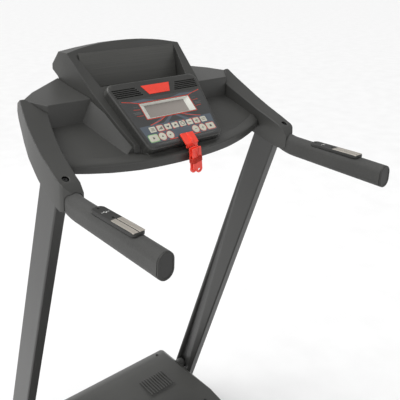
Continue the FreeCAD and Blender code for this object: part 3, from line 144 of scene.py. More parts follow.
class Graph:
    """A material's node tree, built by calls."""

    def __init__(self, name):
        self.material = bpy.data.materials.new(name)
        self.material.use_nodes = True
        self.tree = self.material.node_tree
        self.shader = self.tree.nodes["Principled BSDF"]

    def feed(self, socket, value):
        """Link a value to a socket, or set it there."""
        if isinstance(value, Value):
            self.tree.links.new(value.socket, socket)
        else:
            socket.default_value = value

    def node(self, kind, settings=None, inputs=(), output=0):
        """Any node: its type, its settings and what its sockets get."""
        made = self.tree.nodes.new(kind)
        for key, value in (settings or {}).items():
            if key == "stops":
                ramp = made.color_ramp.elements
                while len(ramp) < len(value):
                    ramp.new(0.5)
                for stop, (place, shade) in zip(ramp, value):
                    stop.position = place
                    stop.color = (*shade, 1) if len(shade) == 3 else shade
            else:
                setattr(made, key, value)
        pairs = inputs.items() if isinstance(inputs, dict) else enumerate(inputs)
        for key, value in pairs:
            self.feed(made.inputs[key], value)
        return Value(self, made.outputs[output])

    def place(self, scale=(1, 1, 1), turn=(0, 0, 0), offset=(0, 0, 0)):
        """Object coordinates, scaled and turned."""
        spot = self.node("ShaderNodeTexCoord", output=3)
        return self.node("ShaderNodeMapping", {}, {"Vector": spot, "Scale": scale,
                                                   "Rotation": turn, "Location": offset})

    def noise(self, at, scale, detail=3.0, rough=0.5):
        """Soft noise."""
        return self.node("ShaderNodeTexNoise", {}, {"Vector": at, "Scale": scale,
                                                    "Detail": detail, "Roughness": rough})

    def cells(self, at, scale):
        """Distance to the nearest of scattered points."""
        return self.node("ShaderNodeTexVoronoi", {}, {"Vector": at, "Scale": scale})

    def part(self, value, low, high, to_low=0.0, to_high=1.0):
        """A value brought from one range to another, kept inside it."""
        return self.node("ShaderNodeMapRange", {"clamp": True},
                         [value, low, high, to_low, to_high])

    def mix(self, factor, first, second):
        """Colour between two colours."""
        first, second = [tuple(c) + (1,) if isinstance(c, (tuple, list)) and len(c) == 3 else c
                         for c in (first, second)]
        return self.node("ShaderNodeMix", {"data_type": "RGBA"},
                         {0: factor, 6: first, 7: second}, output=2)

    def axes(self, at):
        """The three parts of a vector."""
        made = self.tree.nodes.new("ShaderNodeSeparateXYZ")
        self.feed(made.inputs[0], at)
        return [Value(self, socket) for socket in made.outputs]

    def edge(self):
        """One along rounded edges, nought on the faces beside them; the finishes paint a
        highlight there.
        """
        return self.node("ShaderNodeAttribute", {"attribute_name": "edge"}, output=2)

    def bump(self, height, distance, strength=1.0):
        """Bumped normal."""
        return self.node("ShaderNodeBump", {}, {"Height": height, "Distance": distance,
                                                "Strength": strength})

    def finish(self, **sockets):
        """Feed the surface shader's sockets, with underscores for spaces."""
        for key, value in sockets.items():
            if isinstance(value, (tuple, list)) and len(value) == 3:
                value = tuple(value) + (1,)
            self.feed(self.shader.inputs[key.replace("_", " ")], value)
        return self.material


def darker(colour, part):
    """A colour scaled in brightness."""
    return tuple(min(1.0, c * part) for c in colour[:3])


# Materials ------------------------------------------------------------------------
def moulded(name, colour, rough=0.45, grain=900.0, depth=0.00006, gloss=0.5):
    """Moulded plastic with a fine spark-eroded grain, faint flow marks and a painted highlight
    along rounded edges.
    """
    g = Graph(name)
    at = g.place()
    broad = g.noise(at, 7.0, 2.0)
    fine = g.noise(at, grain, 2.0, 0.6)
    pits = g.cells(at, grain * 0.8)
    shade = g.mix(g.part(broad, 0.35, 0.65), darker(colour, 0.90), darker(colour, 1.10))
    shade = g.mix(g.part(fine, 0.45, 0.8, 0.0, 0.35), shade, darker(colour, 1.5))
    # Painted highlight: rounded edges lightened up to 2.6 times, patchily by the broad noise.
    shade = g.mix(g.edge() * g.part(broad, 0.3, 0.7, 0.2, 0.5), shade, darker(colour, 2.6))
    roughness = g.part(broad * 0.4 + fine * 0.6, 0.3, 0.7, rough - 0.05, rough + 0.08)
    normal = g.bump(fine * 0.6 + pits * 0.4, depth)
    return g.finish(Base_Color=shade, Roughness=roughness, Normal=normal,
                    Specular_IOR_Level=gloss)


def painted(name, colour, rough=0.38):
    """Powder-coated steel: orange peel, a few lighter specks and a painted highlight along
    rounded edges.
    """
    g = Graph(name)
    at = g.place()
    peel = g.noise(at, 420.0, 2.0, 0.5)
    broad = g.noise(at, 3.0, 2.0)
    specks = g.part(g.cells(at, 700.0), 0.0, 0.16, 1.0, 0.0)
    shade = g.mix(g.part(broad, 0.3, 0.7), darker(colour, 0.93), darker(colour, 1.07))
    shade = g.mix(specks * 0.22, shade, darker(colour, 2.4))
    # Painted highlight: rounded edges lightened up to 2.2 times.
    shade = g.mix(g.edge() * 0.4, shade, darker(colour, 2.2))
    roughness = g.part(peel, 0.3, 0.7, rough - 0.05, rough + 0.07)
    return g.finish(Base_Color=shade, Roughness=roughness, Metallic=0.15,
                    Normal=g.bump(peel, 0.00005), Coat_Weight=0.15, Coat_Roughness=0.35)


def foam(name, colour):
    """Closed-cell foam: small pores, dull, with a pressed skin."""
    g = Graph(name)
    at = g.place()
    pores = g.cells(at, 1400.0)
    skin = g.noise(at, 260.0, 4.0, 0.65)
    broad = g.noise(at, 14.0, 2.0)
    shade = g.mix(g.part(broad, 0.3, 0.7), darker(colour, 0.88), darker(colour, 1.12))
    shade = g.mix(g.part(pores, 0.0, 0.35, 0.6, 0.0), shade, darker(colour, 0.45))
    height = g.part(pores, 0.0, 0.45) * 0.6 + skin * 0.4
    return g.finish(Base_Color=shade, Roughness=g.part(skin, 0.3, 0.7, 0.62, 0.8),
                    Normal=g.bump(height, 0.00016), Sheen_Weight=0.12, Sheen_Roughness=0.6)


def brushed(name, colour, scale, rough=0.35, metallic=1.0, depth=0.00003):
    """Brushed surface; scale is small along the strokes."""
    g = Graph(name)
    strokes = g.noise(g.place(scale), 1.0, 4.0, 0.7)
    broad = g.noise(g.place(), 9.0, 2.0)
    level = g.part(strokes, 0.3, 0.7)
    shade = g.mix(level, darker(colour, 0.78), darker(colour, 1.25))
    shade = g.mix(g.part(broad, 0.3, 0.7, 0.0, 0.25), shade, darker(colour, 0.8))
    return g.finish(Base_Color=shade, Metallic=metallic,
                    Roughness=g.part(strokes, 0.3, 0.7, rough - 0.07, rough + 0.1),
                    Normal=g.bump(strokes, depth))


def gloss_plastic(name, colour, rough=0.25):
    """Smooth coloured plastic with slight flow marks and fine scuffs."""
    g = Graph(name)
    at = g.place()
    flow = g.noise(at, 40.0, 3.0)
    scuffs = g.noise(g.place((1.0, 0.15, 1.0)), 900.0, 3.0, 0.7)
    shade = g.mix(g.part(flow, 0.3, 0.7), darker(colour, 0.92), darker(colour, 1.06))
    return g.finish(Base_Color=shade, Roughness=g.part(scuffs, 0.45, 0.75, rough, rough + 0.14),
                    Normal=g.bump(flow, 0.00004), Coat_Weight=0.25, Coat_Roughness=0.2)


def rubber(name, colour, scale=500.0, rough=0.75, depth=0.0001):
    """Moulded rubber with a bloomed surface."""
    g = Graph(name)
    at = g.place()
    fine = g.noise(at, scale, 3.0, 0.6)
    bloom = g.noise(at, 22.0, 4.0, 0.6)
    shade = g.mix(g.part(bloom, 0.42, 0.7), colour, darker(colour, 1.7))
    return g.finish(Base_Color=shade, Roughness=g.part(fine, 0.3, 0.7, rough - 0.1, rough + 0.1),
                    Normal=g.bump(fine, depth))


def belt_surface(name, colour):
    """Running belt: small diamonds pressed into black rubber-coated cloth."""
    g = Graph(name)
    x, y = g.axes(g.place())[:2]
    pitch = 2.6 * MM
    one = g.node("ShaderNodeMath", {"operation": "PINGPONG"}, [(x + y) / pitch, 0.5])
    two = g.node("ShaderNodeMath", {"operation": "PINGPONG"}, [(x - y) / pitch, 0.5])
    grid = g.part(g.node("ShaderNodeMath", {"operation": "MINIMUM"}, [one, two]), 0.02, 0.2)
    dust = g.noise(g.place((1, 0.25, 1)), 30.0, 5.0, 0.6)
    shade = g.mix(g.part(dust, 0.45, 0.75, 0.0, 0.5), colour, darker(colour, 2.0))
    shade = g.mix(grid * 0.3, darker(colour, 0.7), shade)
    return g.finish(Base_Color=shade, Roughness=g.part(dust, 0.3, 0.7, 0.6, 0.78),
                    Normal=g.bump(grid, 0.00022))


def board_wood(name, colour):
    """Waxed fibreboard with a fine fibre speckle."""
    g = Graph(name)
    fibre = g.noise(g.place((1, 0.2, 1)), 600.0, 4.0, 0.7)
    shade = g.mix(g.part(fibre, 0.35, 0.7), darker(colour, 0.7), darker(colour, 1.2))
    return g.finish(Base_Color=shade, Roughness=g.part(fibre, 0.3, 0.7, 0.55, 0.75),
                    Normal=g.bump(fibre, 0.00006))


def screen_glass(name, colour):
    """Unlit liquid-crystal screen: grey-brown with a faint cell texture, and painted shading from
    darker at the left end to lighter at the right.
    """
    g = Graph(name)
    at = g.place()
    x = g.axes(at)[0]
    # Painted shading across the glass: 0.92 of the colour at the left end, 1.1 at the right.
    painted_shading = g.part(x, -0.07, 0.07)
    shade = g.mix(painted_shading, darker(colour, 0.92), darker(colour, 1.1))
    cells = g.noise(at, 1800.0, 1.0)
    shade = g.mix(g.part(cells, 0.4, 0.7, 0.0, 0.12), shade, darker(colour, 0.7))
    return g.finish(Base_Color=shade, Roughness=g.part(cells, 0.3, 0.7, 0.16, 0.24),
                    Coat_Weight=0.4, Coat_Roughness=0.1)


def circuit(name, colour):
    """Solder mask with paler tracks."""
    g = Graph(name)
    tracks = g.part(g.cells(g.place((1, 1, 0.2)), 160.0), 0.28, 0.34)
    shade = g.mix(tracks, colour, darker(colour, 2.2))
    return g.finish(Base_Color=shade, Roughness=g.part(tracks, 0, 1, 0.35, 0.5))


def braid(name, colour):
    """Thin braided cord."""
    g = Graph(name)
    weave = g.node("ShaderNodeTexWave", {"bands_direction": "DIAGONAL"},
                   {"Vector": g.place(), "Scale": 900.0, "Distortion": 1.5}, output=1)
    shade = g.mix(weave, darker(colour, 0.6), colour)
    return g.finish(Base_Color=shade, Roughness=g.part(weave, 0, 1, 0.8, 0.6),
                    Normal=g.bump(weave, 0.0002))


CHARCOAL = (0.047, 0.047, 0.044)
WORLD_LIGHT = 0.5
MATERIALS = {}


def make_materials(colours):
    """Every finish of the machine, by the record's slot names."""
    body = tuple(colours.console)
    steel_paint = tuple(colours.paint)
    red = tuple(colours.red)
    MATERIALS.update({
        "console_plastic": moulded("console_plastic", body, 0.42),
        "hood_plastic": moulded("hood_plastic", darker(body, 0.92), 0.44),
        "module_plastic": moulded("module_plastic", darker(body, 0.75), 0.36, 1200.0, 0.00003),
        "black_plastic": moulded("black_plastic", darker(body, 0.45), 0.5),
        "inlet_black": moulded("inlet_black", darker(body, 0.35), 0.4, 1500.0),
        "foot_rail": moulded("foot_rail", darker(body, 1.15), 0.55, 700.0, 0.0001),
        "wheel_plastic": moulded("wheel_plastic", darker(body, 0.4), 0.55),
        "frame_paint": painted("frame_paint", steel_paint),
        "motor_paint": painted("motor_paint", darker(steel_paint, 0.7), 0.32),
        "strut_black": painted("strut_black", darker(steel_paint, 0.5), 0.25),
        "grip_foam": foam("grip_foam", darker(body, 0.8)),
        "brushed_panel": brushed("brushed_panel", darker(body, 2.0), (6, 900, 900), 0.42, 0.1),
        "contact_steel": brushed("contact_steel", (0.60, 0.56, 0.50), (900, 12, 900), 0.4),
        "zinc_steel": brushed("zinc_steel", (0.5, 0.5, 0.51), (60, 300, 300), 0.38),
        "roller_steel": brushed("roller_steel", (0.46, 0.46, 0.47), (700, 20, 20), 0.3),
        "bracket_steel": brushed("bracket_steel", (0.4, 0.4, 0.41), (200, 60, 200), 0.45),
        "strut_chrome": brushed("strut_chrome", (0.78, 0.78, 0.8), (500, 40, 40), 0.12),
        "black_screw": brushed("black_screw", (0.05, 0.05, 0.05), (400, 400, 400), 0.4),
        "emblem_red": gloss_plastic("emblem_red", darker(red, 0.95), 0.2),
        "key_red": gloss_plastic("key_red", red, 0.32),
        "rocker_red": gloss_plastic("rocker_red", darker(red, 0.7), 0.25),
        "lcd_frame": gloss_plastic("lcd_frame", (0.72, 0.72, 0.66), 0.35),
        "lcd_glass": screen_glass("lcd_glass", (0.30, 0.27, 0.245)),
        "keypad_film": gloss_plastic("keypad_film", (0.045, 0.046, 0.046), 0.3),
        "film_blue": gloss_plastic("film_blue", (0.085, 0.105, 0.13), 0.3),
        "film_key": gloss_plastic("film_key", (0.58, 0.565, 0.47), 0.4),
        "film_red": gloss_plastic("film_red", (0.75, 0.055, 0.02), 0.4),
        "film_green": gloss_plastic("film_green", (0.30, 0.62, 0.22), 0.35),
        "film_ink": gloss_plastic("film_ink", (0.05, 0.05, 0.05), 0.4),
        "film_grey": gloss_plastic("film_grey", (0.17, 0.17, 0.165), 0.4),
        "film_white": gloss_plastic("film_white", (0.85, 0.85, 0.83), 0.35),
        "circuit": circuit("circuit", (0.02, 0.15, 0.06)),
        "speaker_black": rubber("speaker_black", (0.02, 0.02, 0.02)),
        "black_rubber": rubber("black_rubber", (0.022, 0.022, 0.022)),
        "ribbed_belt": rubber("ribbed_belt", (0.018, 0.018, 0.018)),
        "belt_rubber": belt_surface("belt_rubber", (0.024, 0.024, 0.025)),
        "deck_board": board_wood("deck_board", (0.26, 0.17, 0.10)),
        "cord_red": braid("cord_red", darker(red, 0.85)),
    })


# Mesh helpers ---------------------------------------------------------------------
def baked(obj):
    """Turn an object's evaluated shape into its own plain mesh."""
    bpy.context.view_layer.update()
    graph = bpy.context.evaluated_depsgraph_get()
    mesh = bpy.data.meshes.new_from_object(obj.evaluated_get(graph), depsgraph=graph)
    old = obj.data
    obj.modifiers.clear()
    obj.data = mesh
    mesh.name = obj.name
    bpy.data.meshes.remove(old)
    return obj


def new_object(name, bm, finish):
    """Object at the origin from a bmesh, with one material."""
    bmesh.ops.recalc_face_normals(bm, faces=bm.faces)
    mesh = bpy.data.meshes.new(name)
    bm.to_mesh(mesh)
    bm.free()
    made = bpy.data.objects.new(name, mesh)
    bpy.context.collection.objects.link(made)
    mesh.materials.append(MATERIALS[finish])
    return made


def mark_painted_highlight_edges(mesh):
    """Store where the rounded edges are, for the painted edge highlight in the finishes."""
    flat = {i for face in mesh.polygons if face.area > 0.00002 or face.loop_total > 4
            for i in face.vertices}
    marks = mesh.attributes.new("edge", "FLOAT", "POINT")
    marks.data.foreach_set("value", [float(v.index not in flat) for v in mesh.vertices])


def edge_room(bm, sharp):
    """How wide each sharp edge may be rounded, the same all along a smooth chain."""
    group = {edge: edge for edge in sharp}
    room = dict.fromkeys(sharp, 1.0)

    def head(edge):
        while group[edge] is not edge:
            edge = group[edge]
        return edge

    for vert in bm.verts:
        mine = [edge for edge in vert.link_edges if edge in sharp]
        if not mine:
            continue
        across = [edge.calc_length() * 0.45 for edge in vert.link_edges if edge not in sharp]
        along = min(edge.calc_length() for edge in mine)
        limit = along * 0.45
        if len(mine) == 2:
            one, two = [edge.other_vert(vert).co - vert.co for edge in mine]
            turn = math.pi - one.angle(two, 0.0)
            if turn < CHAIN_TURN:
                limit = along / max(turn, 0.01) * 0.8
                group[head(mine[0])] = head(mine[1])
        for edge in mine:
            room[edge] = min([room[edge], limit] + across)
    least = {}
    for edge in sharp:
        top = head(edge)
        least[top] = min(least.get(top, 1.0), room[edge])
    return {edge: least[head(edge)] for edge in sharp}


def soften(obj, width, segments=3):
    """Round the sharp edges as far as there is room, and shade the rest smooth."""
    bm = bmesh.new()
    bm.from_mesh(obj.data)
    weights = bm.edges.layers.float.new("bevel_weight_edge")
    for face in bm.faces:
        face.smooth = True
    sharp = {edge for edge in bm.edges
             if len(edge.link_faces) == 2 and edge.calc_face_angle(0.0) > SHARP_ANGLE}
    for edge, room in edge_room(bm, sharp).items():
        share = min(1.0, room / (width * MM)) if width else 0.0
        edge[weights] = share if share > 0.08 else 0.0
        edge.smooth = edge[weights] > 0
    bm.to_mesh(obj.data)
    bm.free()
    if width > 0:
        bevel = obj.modifiers.new("round", "BEVEL")
        bevel.width = width * MM
        bevel.segments = segments
        bevel.limit_method = "WEIGHT"
        bevel.use_clamp_overlap = False
        bevel.miter_outer = "MITER_ARC"
    weighted = obj.modifiers.new("normals", "WEIGHTED_NORMAL")
    weighted.keep_sharp = True
    baked(obj)
    mark_painted_highlight_edges(obj.data)
    return obj


def settle(obj, body, slot, *nodes):
    """Last calls on a piece: its body and the nodes it stands for; its slot is not used."""
    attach(obj, body)
    if nodes:
        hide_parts(*nodes)
    return obj


def loft(bm, sections):
    """Closed skin between like rings of points."""
    rings = [[bm.verts.new(point) for point in section] for section in sections]
    count = len(rings[0])
    for one, two in zip(rings, rings[1:]):
        for i in range(count):
            j = (i + 1) % count
            bm.faces.new((one[i], one[j], two[j], two[i]))
    bm.faces.new(rings[0])
    bm.faces.new(list(reversed(rings[-1])))


def slab(bm, outline, to_point, low, high):
    """Flat outline carried between two levels by a point function."""
    loft(bm, [[to_point(x, y, level) for x, y in outline] for level in (low, high)])


def rounded_box(half_x, half_y, radius, steps=5):
    """Outline of a rectangle with round corners, about its middle."""
    outline = []
    for k, (sx, sy) in enumerate(((1, 1), (-1, 1), (-1, -1), (1, -1))):
        for i in range(steps + 1):
            angle = math.pi / 2 * (k + i / steps)
            outline.append((sx * (half_x - radius) + radius * math.cos(angle),
                            sy * (half_y - radius) + radius * math.sin(angle)))
    return outline


def moved(outline, dx, dy):
    """Outline shifted across its plane."""
    return [(x + dx, y + dy) for x, y in outline]


SLOT_OF = {part["node"]: part["material_slot"] for part in frame["record"]["subparts"]}


def dressed(node, width, segments=3):
    """Piece made from a CAD node's own shape, with its edges rounded."""
    bm = bmesh.new()
    bm.from_mesh(frame["nodes"][node].data)
    bmesh.ops.remove_doubles(bm, verts=bm.verts, dist=0.000002)
    if width >= 0.5:
        bmesh.ops.dissolve_limit(bm, angle_limit=math.radians(1.0), verts=bm.verts,
                                 edges=bm.edges)
    slot = SLOT_OF[node]
    piece = soften(new_object(node + "_skin", bm, slot), width, segments)
    return settle(piece, frame["nodes"][node]["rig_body"], slot, node)


# Rows of like things, with Geometry Nodes -------------------------------------------
def row_tree():
    """Tree that repeats its input along a line."""
    tree = bpy.data.node_groups.new("row_of_copies", "GeometryNodeTree")
    face = tree.interface
    face.new_socket("Geometry", in_out="INPUT", socket_type="NodeSocketGeometry")
    for name, kind in (("Count", "Int"), ("Start", "Vector"), ("Step", "Vector"),
                       ("Finish", "Material")):
        face.new_socket(name, in_out="INPUT", socket_type="NodeSocket" + kind)
    face.new_socket("Geometry", in_out="OUTPUT", socket_type="NodeSocketGeometry")
    add = tree.nodes.new
    given, result = add("NodeGroupInput"), add("NodeGroupOutput")
    line, copies = add("GeometryNodeMeshLine"), add("GeometryNodeInstanceOnPoints")
    whole, finish = add("GeometryNodeRealizeInstances"), add("GeometryNodeSetMaterial")
    for source, target in ((given.outputs["Count"], line.inputs["Count"]),
                           (given.outputs["Start"], line.inputs["Start Location"]),
                           (given.outputs["Step"], line.inputs["Offset"]),
                           (line.outputs["Mesh"], copies.inputs["Points"]),
                           (given.outputs["Geometry"], copies.inputs["Instance"]),
                           (copies.outputs[0], whole.inputs[0]),
                           (whole.outputs[0], finish.inputs["Geometry"]),
                           (given.outputs["Finish"], finish.inputs["Material"]),
                           (finish.outputs[0], result.inputs[0])):
        tree.links.new(source, target)
    return tree


def repeated(obj, count, start, step):
    """Replace an object's mesh by a row of copies of it."""
    tree = bpy.data.node_groups.get("row_of_copies") or row_tree()
    row_of = obj.modifiers.new("row", "NODES")
    row_of.node_group = tree
    values = {"Count": count, "Start": Vector(start), "Step": Vector(step),
              "Finish": obj.data.materials[0]}
    for item in tree.interface.items_tree:
        if item.in_out == "INPUT" and item.name in values:
            row_of[item.identifier] = values[item.name]
    return baked(obj)


# Pieces ---------------------------------------------------------------------------
PLAIN_PIECES = {
    "frame": {"base_side_rails": 2.0, "base_cross_tubes": 1.5, "base_end_caps": 1.5,
              "base_pads": 0.8, "uprights": 2.5, "pivot_bolts": 0.6, "wheel_axles": 0.5},
    "console": {"console_arms": 3.0, "console_tray": 2.5, "console_hood": 3.0,
                "hood_back_cover": 2.0, "console_bottom_cover": 1.5, "tablet_panel": 0.5,
                "speakers": 0.4, "arm_screws": 0.5},
    "display": {"display_housing": 0.45, "keypad_overlay": 0.25, "lcd_bezel": 0.3,
                "lcd_screen": 0.3, "display_board": 0.2, "emblem_plate": 0.3,
                "key_socket": 0.8},
    "handles": {"handle_tubes": 1.0, "grip_foams": 0.0, "grip_end_caps": 2.0,
                "pulse_pods": 1.0, "pulse_plates": 0.5, "pod_screws": 0.3},
    "wheels": {"transport_wheel_left": 1.0, "transport_wheel_right": 1.0},
    "deck": {"deck_side_tubes": 1.5, "deck_cross_tubes": 1.5, "deck_board": 0.8,
             "deck_cushions": 1.0, "foot_rails": 2.0, "rear_caps": 3.0, "rear_feet": 1.0,
             "belly_pan": 0.8},
    "belt": {"running_belt": 0.3, "front_roller": 0.5, "rear_roller": 0.5,
             "roller_axles": 0.5},
    "drive": {"motor_hood": 4.0, "hood_screws": 0.4, "motor_body": 1.0, "motor_mount": 0.6,
              "motor_rotor": 0.4, "motor_controller": 0.6, "drive_belt": 0.3,
              "power_inlet": 0.5, "switch_bezel": 0.4, "switch_rocker": 0.4,
              "breaker_body": 0.4, "breaker_button": 0.3},
    "strut": {"strut_cylinder": 1.0, "strut_rod": 0.4},
}


def dress_group(group):
    """Dress every node of a group; gives the pieces by node."""
    return {node: dressed(node, width) for node, width in PLAIN_PIECES[group].items()}


def film_level():
    """How far the keypad film's face stands out of the display's plane, in mm."""
    out = Vector((0, -math.sin(PANEL_SLOPE), math.cos(PANEL_SLOPE)))
    film = frame["nodes"]["keypad_overlay"].data
    return max((v.co - PANEL_AT).dot(out) for v in film.vertices) / MM


def ribbon(points, width):
    """Outlines of a line's straight runs, each a thin four-sided strip."""
    strips = []
    for (ax, ay), (bx, by) in zip(points, points[1:]):
        length = math.hypot(bx - ax, by - ay)
        nx, ny = -(by - ay) / length * width / 2, (bx - ax) / length * width / 2
        ex, ey = (bx - ax) / length * width / 2, (by - ay) / length * width / 2
        strips.append([(ax - ex + nx, ay - ey + ny), (ax - ex - nx, ay - ey - ny),
                       (bx + ex - nx, by + ey - ny), (bx + ex + nx, by + ey + ny)])
    return strips


def both_sides(outlines):
    """Outlines and their mirror images."""
    return outlines + [[(-x, y) for x, y in outline] for outline in outlines]


def printed(name, finish, outlines, level, height=0.1):
    """Shapes printed on the film: thin closed slabs."""
    bm = bmesh.new()
    for outline in outlines:
        slab(bm, outline, panel, level, level + height)
    return settle(new_object(name, bm, finish), "frame", "keypad_film")


def film_half(v):
    """Half width of the printed zone at a height up the film."""
    return 101.0 + 0.171 * v


KEY_ROW = 33.5
LOWER_ROW = 12.0
KEY_PITCH = 22.3
ROUND_KEYS = (39.3, 61.6)
BIG_KEY = 87.0
LCD_LOW, LCD_HIGH, LCD_HALF = 62.4, 105.4, 75.0


def frame_of(half_x, half_y, radius, line):
    """A round-cornered outline as strips."""
    corners = rounded_box(half_x, half_y, radius, 3)
    return ribbon(corners + corners[:1], line)


def print_film():
    """Bands, chevrons, lines and marks of the keypad film."""
    top = film_level() - 0.02
    low = 0.6
    band = [(-film_half(low), low), (film_half(low), low), (film_half(45), 45),
            (-film_half(45), 45)]
    wedges = both_sides([[(74, 45.0), (60, 45.0), (26, 59.5), (38, 59.5)],
                         [(-108, 113), (-55, 116), (-20, 108.5), (-76, 109)],
                         [(38, 45), (24, 45), (4, 59.5), (14, 59.5)]])
    printed("film_bands", "film_blue", [band] + wedges, top, 0.06)
    lcd = [(-LCD_HALF - 1.5, LCD_LOW - 1.5), (LCD_HALF + 1.5, LCD_LOW - 1.5),
           (LCD_HALF + 1.5, LCD_HIGH + 1.5), (-LCD_HALF - 1.5, LCD_HIGH + 1.5)]
    red = ribbon(lcd + lcd[:1], 1.3)
    red += both_sides(ribbon([(76.5, 107), (96, 112.5), (118, 117)], 1.3))
    red += both_sides(ribbon([(26, 60), (42, 53), (76, 45.5)], 1.3))
    red += both_sides([outline for v in (73, 90)
                       for outline in ribbon([(81, v), (98, v + 1.5)], 0.8)])
    red += both_sides(ribbon([(24, 0.6), (47, 0.6)], 1.3))
    for x in (2.5 * KEY_PITCH, -2.5 * KEY_PITCH):
        red += [moved(o, x, KEY_ROW) for o in frame_of(9.6, 8.0, 2.5, 1.0)]
    for x in (-1.5, -0.5, 0.5, 1.5):
        red += [moved([(9.8, 8.4), (3.5, 8.4), (9.8, 2.5)], x * KEY_PITCH, KEY_ROW),
                moved([(-9.8, -8.4), (-3.5, -8.4), (-9.8, -2.5)], x * KEY_PITCH, KEY_ROW)]
    red += [moved(o, BIG_KEY, LOWER_ROW) for o in frame_of(13.0, 9.0, 2.5, 1.0)]
    for x in ROUND_KEYS:
        for side in (1, -1):
            red += [moved(o, side * x, LOWER_ROW) for o in frame_of(10.6, 10.6, 10.5, 0.7)]
    printed("film_lines", "film_red", red, top, 0.16)
    green = [moved(o, -BIG_KEY, LOWER_ROW) for o in frame_of(13.0, 9.0, 2.5, 1.2)]
    printed("film_start_line", "film_green", green, top, 0.16)
    grey = [ribbon([(x0, v), (x1, v)], 0.55)[0]
            for x0, x1, v in ((83, 104, 84), (83, 98, 81.6), (83, 102, 79.2), (84, 94, 98),
                              (-104, -83, 84), (-100, -83, 81.6), (-103, -83, 79.2),
                              (-95, -84, 98), (-52, -8, 22.5), (8, 52, 22.5),
                              (-96, -50, 0.6), (50, 96, 0.6),
                              (-90, -28, -3.2), (28, 92, -3.2), (-84, -34, -5.2),
                              (36, 84, -5.2))]
    printed("film_small_marks", "film_grey", grey, top, 0.14)


def bars(count, half, pitch):
    """Level bars, one over another."""
    return [[(-half, y - 0.4), (half, y - 0.4), (half, y + 0.4), (-half, y + 0.4)]
            for y in [(i - (count - 1) / 2) * pitch for i in range(count)]]


def key_marks():
    """Plain signs for the keys: bars, arrows, steps, plus, minus, go and stop."""
    plus = [[(-3.4, -0.5), (3.4, -0.5), (3.4, 0.5), (-3.4, 0.5)],
            [(-0.5, -3.4), (0.5, -3.4), (0.5, 3.4), (-0.5, 3.4)]]
    up = [[(-3, -1.4), (0, 2.6), (3, -1.4)]]
    down = [[(3, 1.4), (0, -2.6), (-3, 1.4)]]
    go = [[(-2.4, -3.4), (3.6, 0), (-2.4, 3.4)]]
    stop = [[(-2.8, -2.8), (2.8, -2.8), (2.8, 2.8), (-2.8, 2.8)]]
    steps = [[(x, -2.6), (x + 1.3, -2.6), (x + 1.3, top), (x, top)]
             for x, top in ((-3.4, -1.0), (-1.5, 0.2), (0.4, 1.4), (2.3, 2.6))]
    ring = frame_of(3.2, 3.2, 3.15, 0.8)
    signs = [bars(3, 3.6, 2.2), steps, down, up, ring, plus[:1], plus, bars(2, 3.6, 3.0)]
    signs = [[[(x * 1.5, y * 1.35) for x, y in o] for o in sign] for sign in signs]
    marks = [moved(o, (i - 3.5) * KEY_PITCH, KEY_ROW)
             for i, sign in enumerate(signs) for o in sign]
    for x, sign in ((-BIG_KEY, go), (BIG_KEY, stop), (-ROUND_KEYS[1], up),
                    (-ROUND_KEYS[0], down), (ROUND_KEYS[0], plus[:1]), (ROUND_KEYS[1], plus)):
        marks += [moved(o, x, LOWER_ROW) for o in sign]
    return marks


def make_keys():
    """Pale keys, a little domed: a row of eight, four round ones and two large ones."""
    level = film_level()

    def cap(bm, outline, x, v):
        centre = Vector((x, v))
        rings = []
        for shrink, n in ((1.0, 0.04), (1.0, 0.28), (0.93, 0.42), (0.8, 0.46)):
            rings.append([panel(centre.x + a * shrink, centre.y + b * shrink, level + n)
                          for a, b in outline])
        loft(bm, rings)

    bm = bmesh.new()
    cap(bm, rounded_box(8.6, 7.2, 2.2), -3.5 * KEY_PITCH, KEY_ROW)
    squares = new_object("keys_square", bm, "film_key")
    repeated(squares, 8, (0, 0, 0), (KEY_PITCH * MM, 0, 0))
    bm = bmesh.new()
    for side in (1, -1):
        cap(bm, rounded_box(12.2, 8.2, 2.2), side * BIG_KEY, LOWER_ROW)
        for x in ROUND_KEYS:
            cap(bm, rounded_box(9.6, 9.6, 9.55, 9), side * x, LOWER_ROW)
    others = new_object("keys_lower", bm, "film_key")
    for piece in (squares, others):
        settle(soften(piece, 0), "frame", "keypad_film")
    printed("key_signs", "film_ink", key_marks(), level + 0.40, 0.16)


# Grips ----------------------------------------------------------------------------
def grip_details(pieces):
    """A small pale pulse line marks each pod."""
    pod = frame["nodes"]["pulse_pods"].data
    for side, name in ((-1, "left"), (1, "right")):
        near = [v.co for v in pod.vertices if v.co.x * side > 0]
        high = max(co.z for co in near)
        middle_x = (min(co.x for co in near) + max(co.x for co in near)) / 2
        front = max(co.y for co in near)

        def place(a, b, n):
            return Vector((middle_x + a * MM, front + (b - 30) * MM, high + n * MM))

        pulse = [(-8, 0), (-3.5, 0), (-2, 3), (0.5, -4), (2.5, 2), (3.5, 0), (8, 0)]
        bm = bmesh.new()
        for strip in ribbon(pulse, 0.9):
            slab(bm, strip, place, -0.3, 0.08)
        settle(new_object("pulse_sign_" + name, bm, "film_white"), "frame", "keypad_film")


LIP_HALF = 286.0                   # half length of the tray's lip
LIP_BOW = 1500.0                   # the front edge lies x * x / LIP_BOW back from the middle
LIP_PLAIN_HALF = 100.0             # the lip stays low this far from the middle
LIP_LOW, LIP_RISE = 2.0, 5.0       # height in the middle, and how much is gained at the ends
LIP_GAIN, LIP_WIDENS = 189.0, 40.0  # lengths over which it gains height and depth
LIP_STEPS = 48


def tray_level(y):
    """Height of the open tray's floor at a depth, in console millimetres."""
    steps = ((0.0, -9.7), (50.0, -1.0), (160.0, 54.0))
    for (y0, z0), (y1, z1) in zip(steps, steps[1:]):
        if y <= y1:
            return z0 + (z1 - z0) * (y - y0) / (y1 - y0)
    return steps[-1][1]


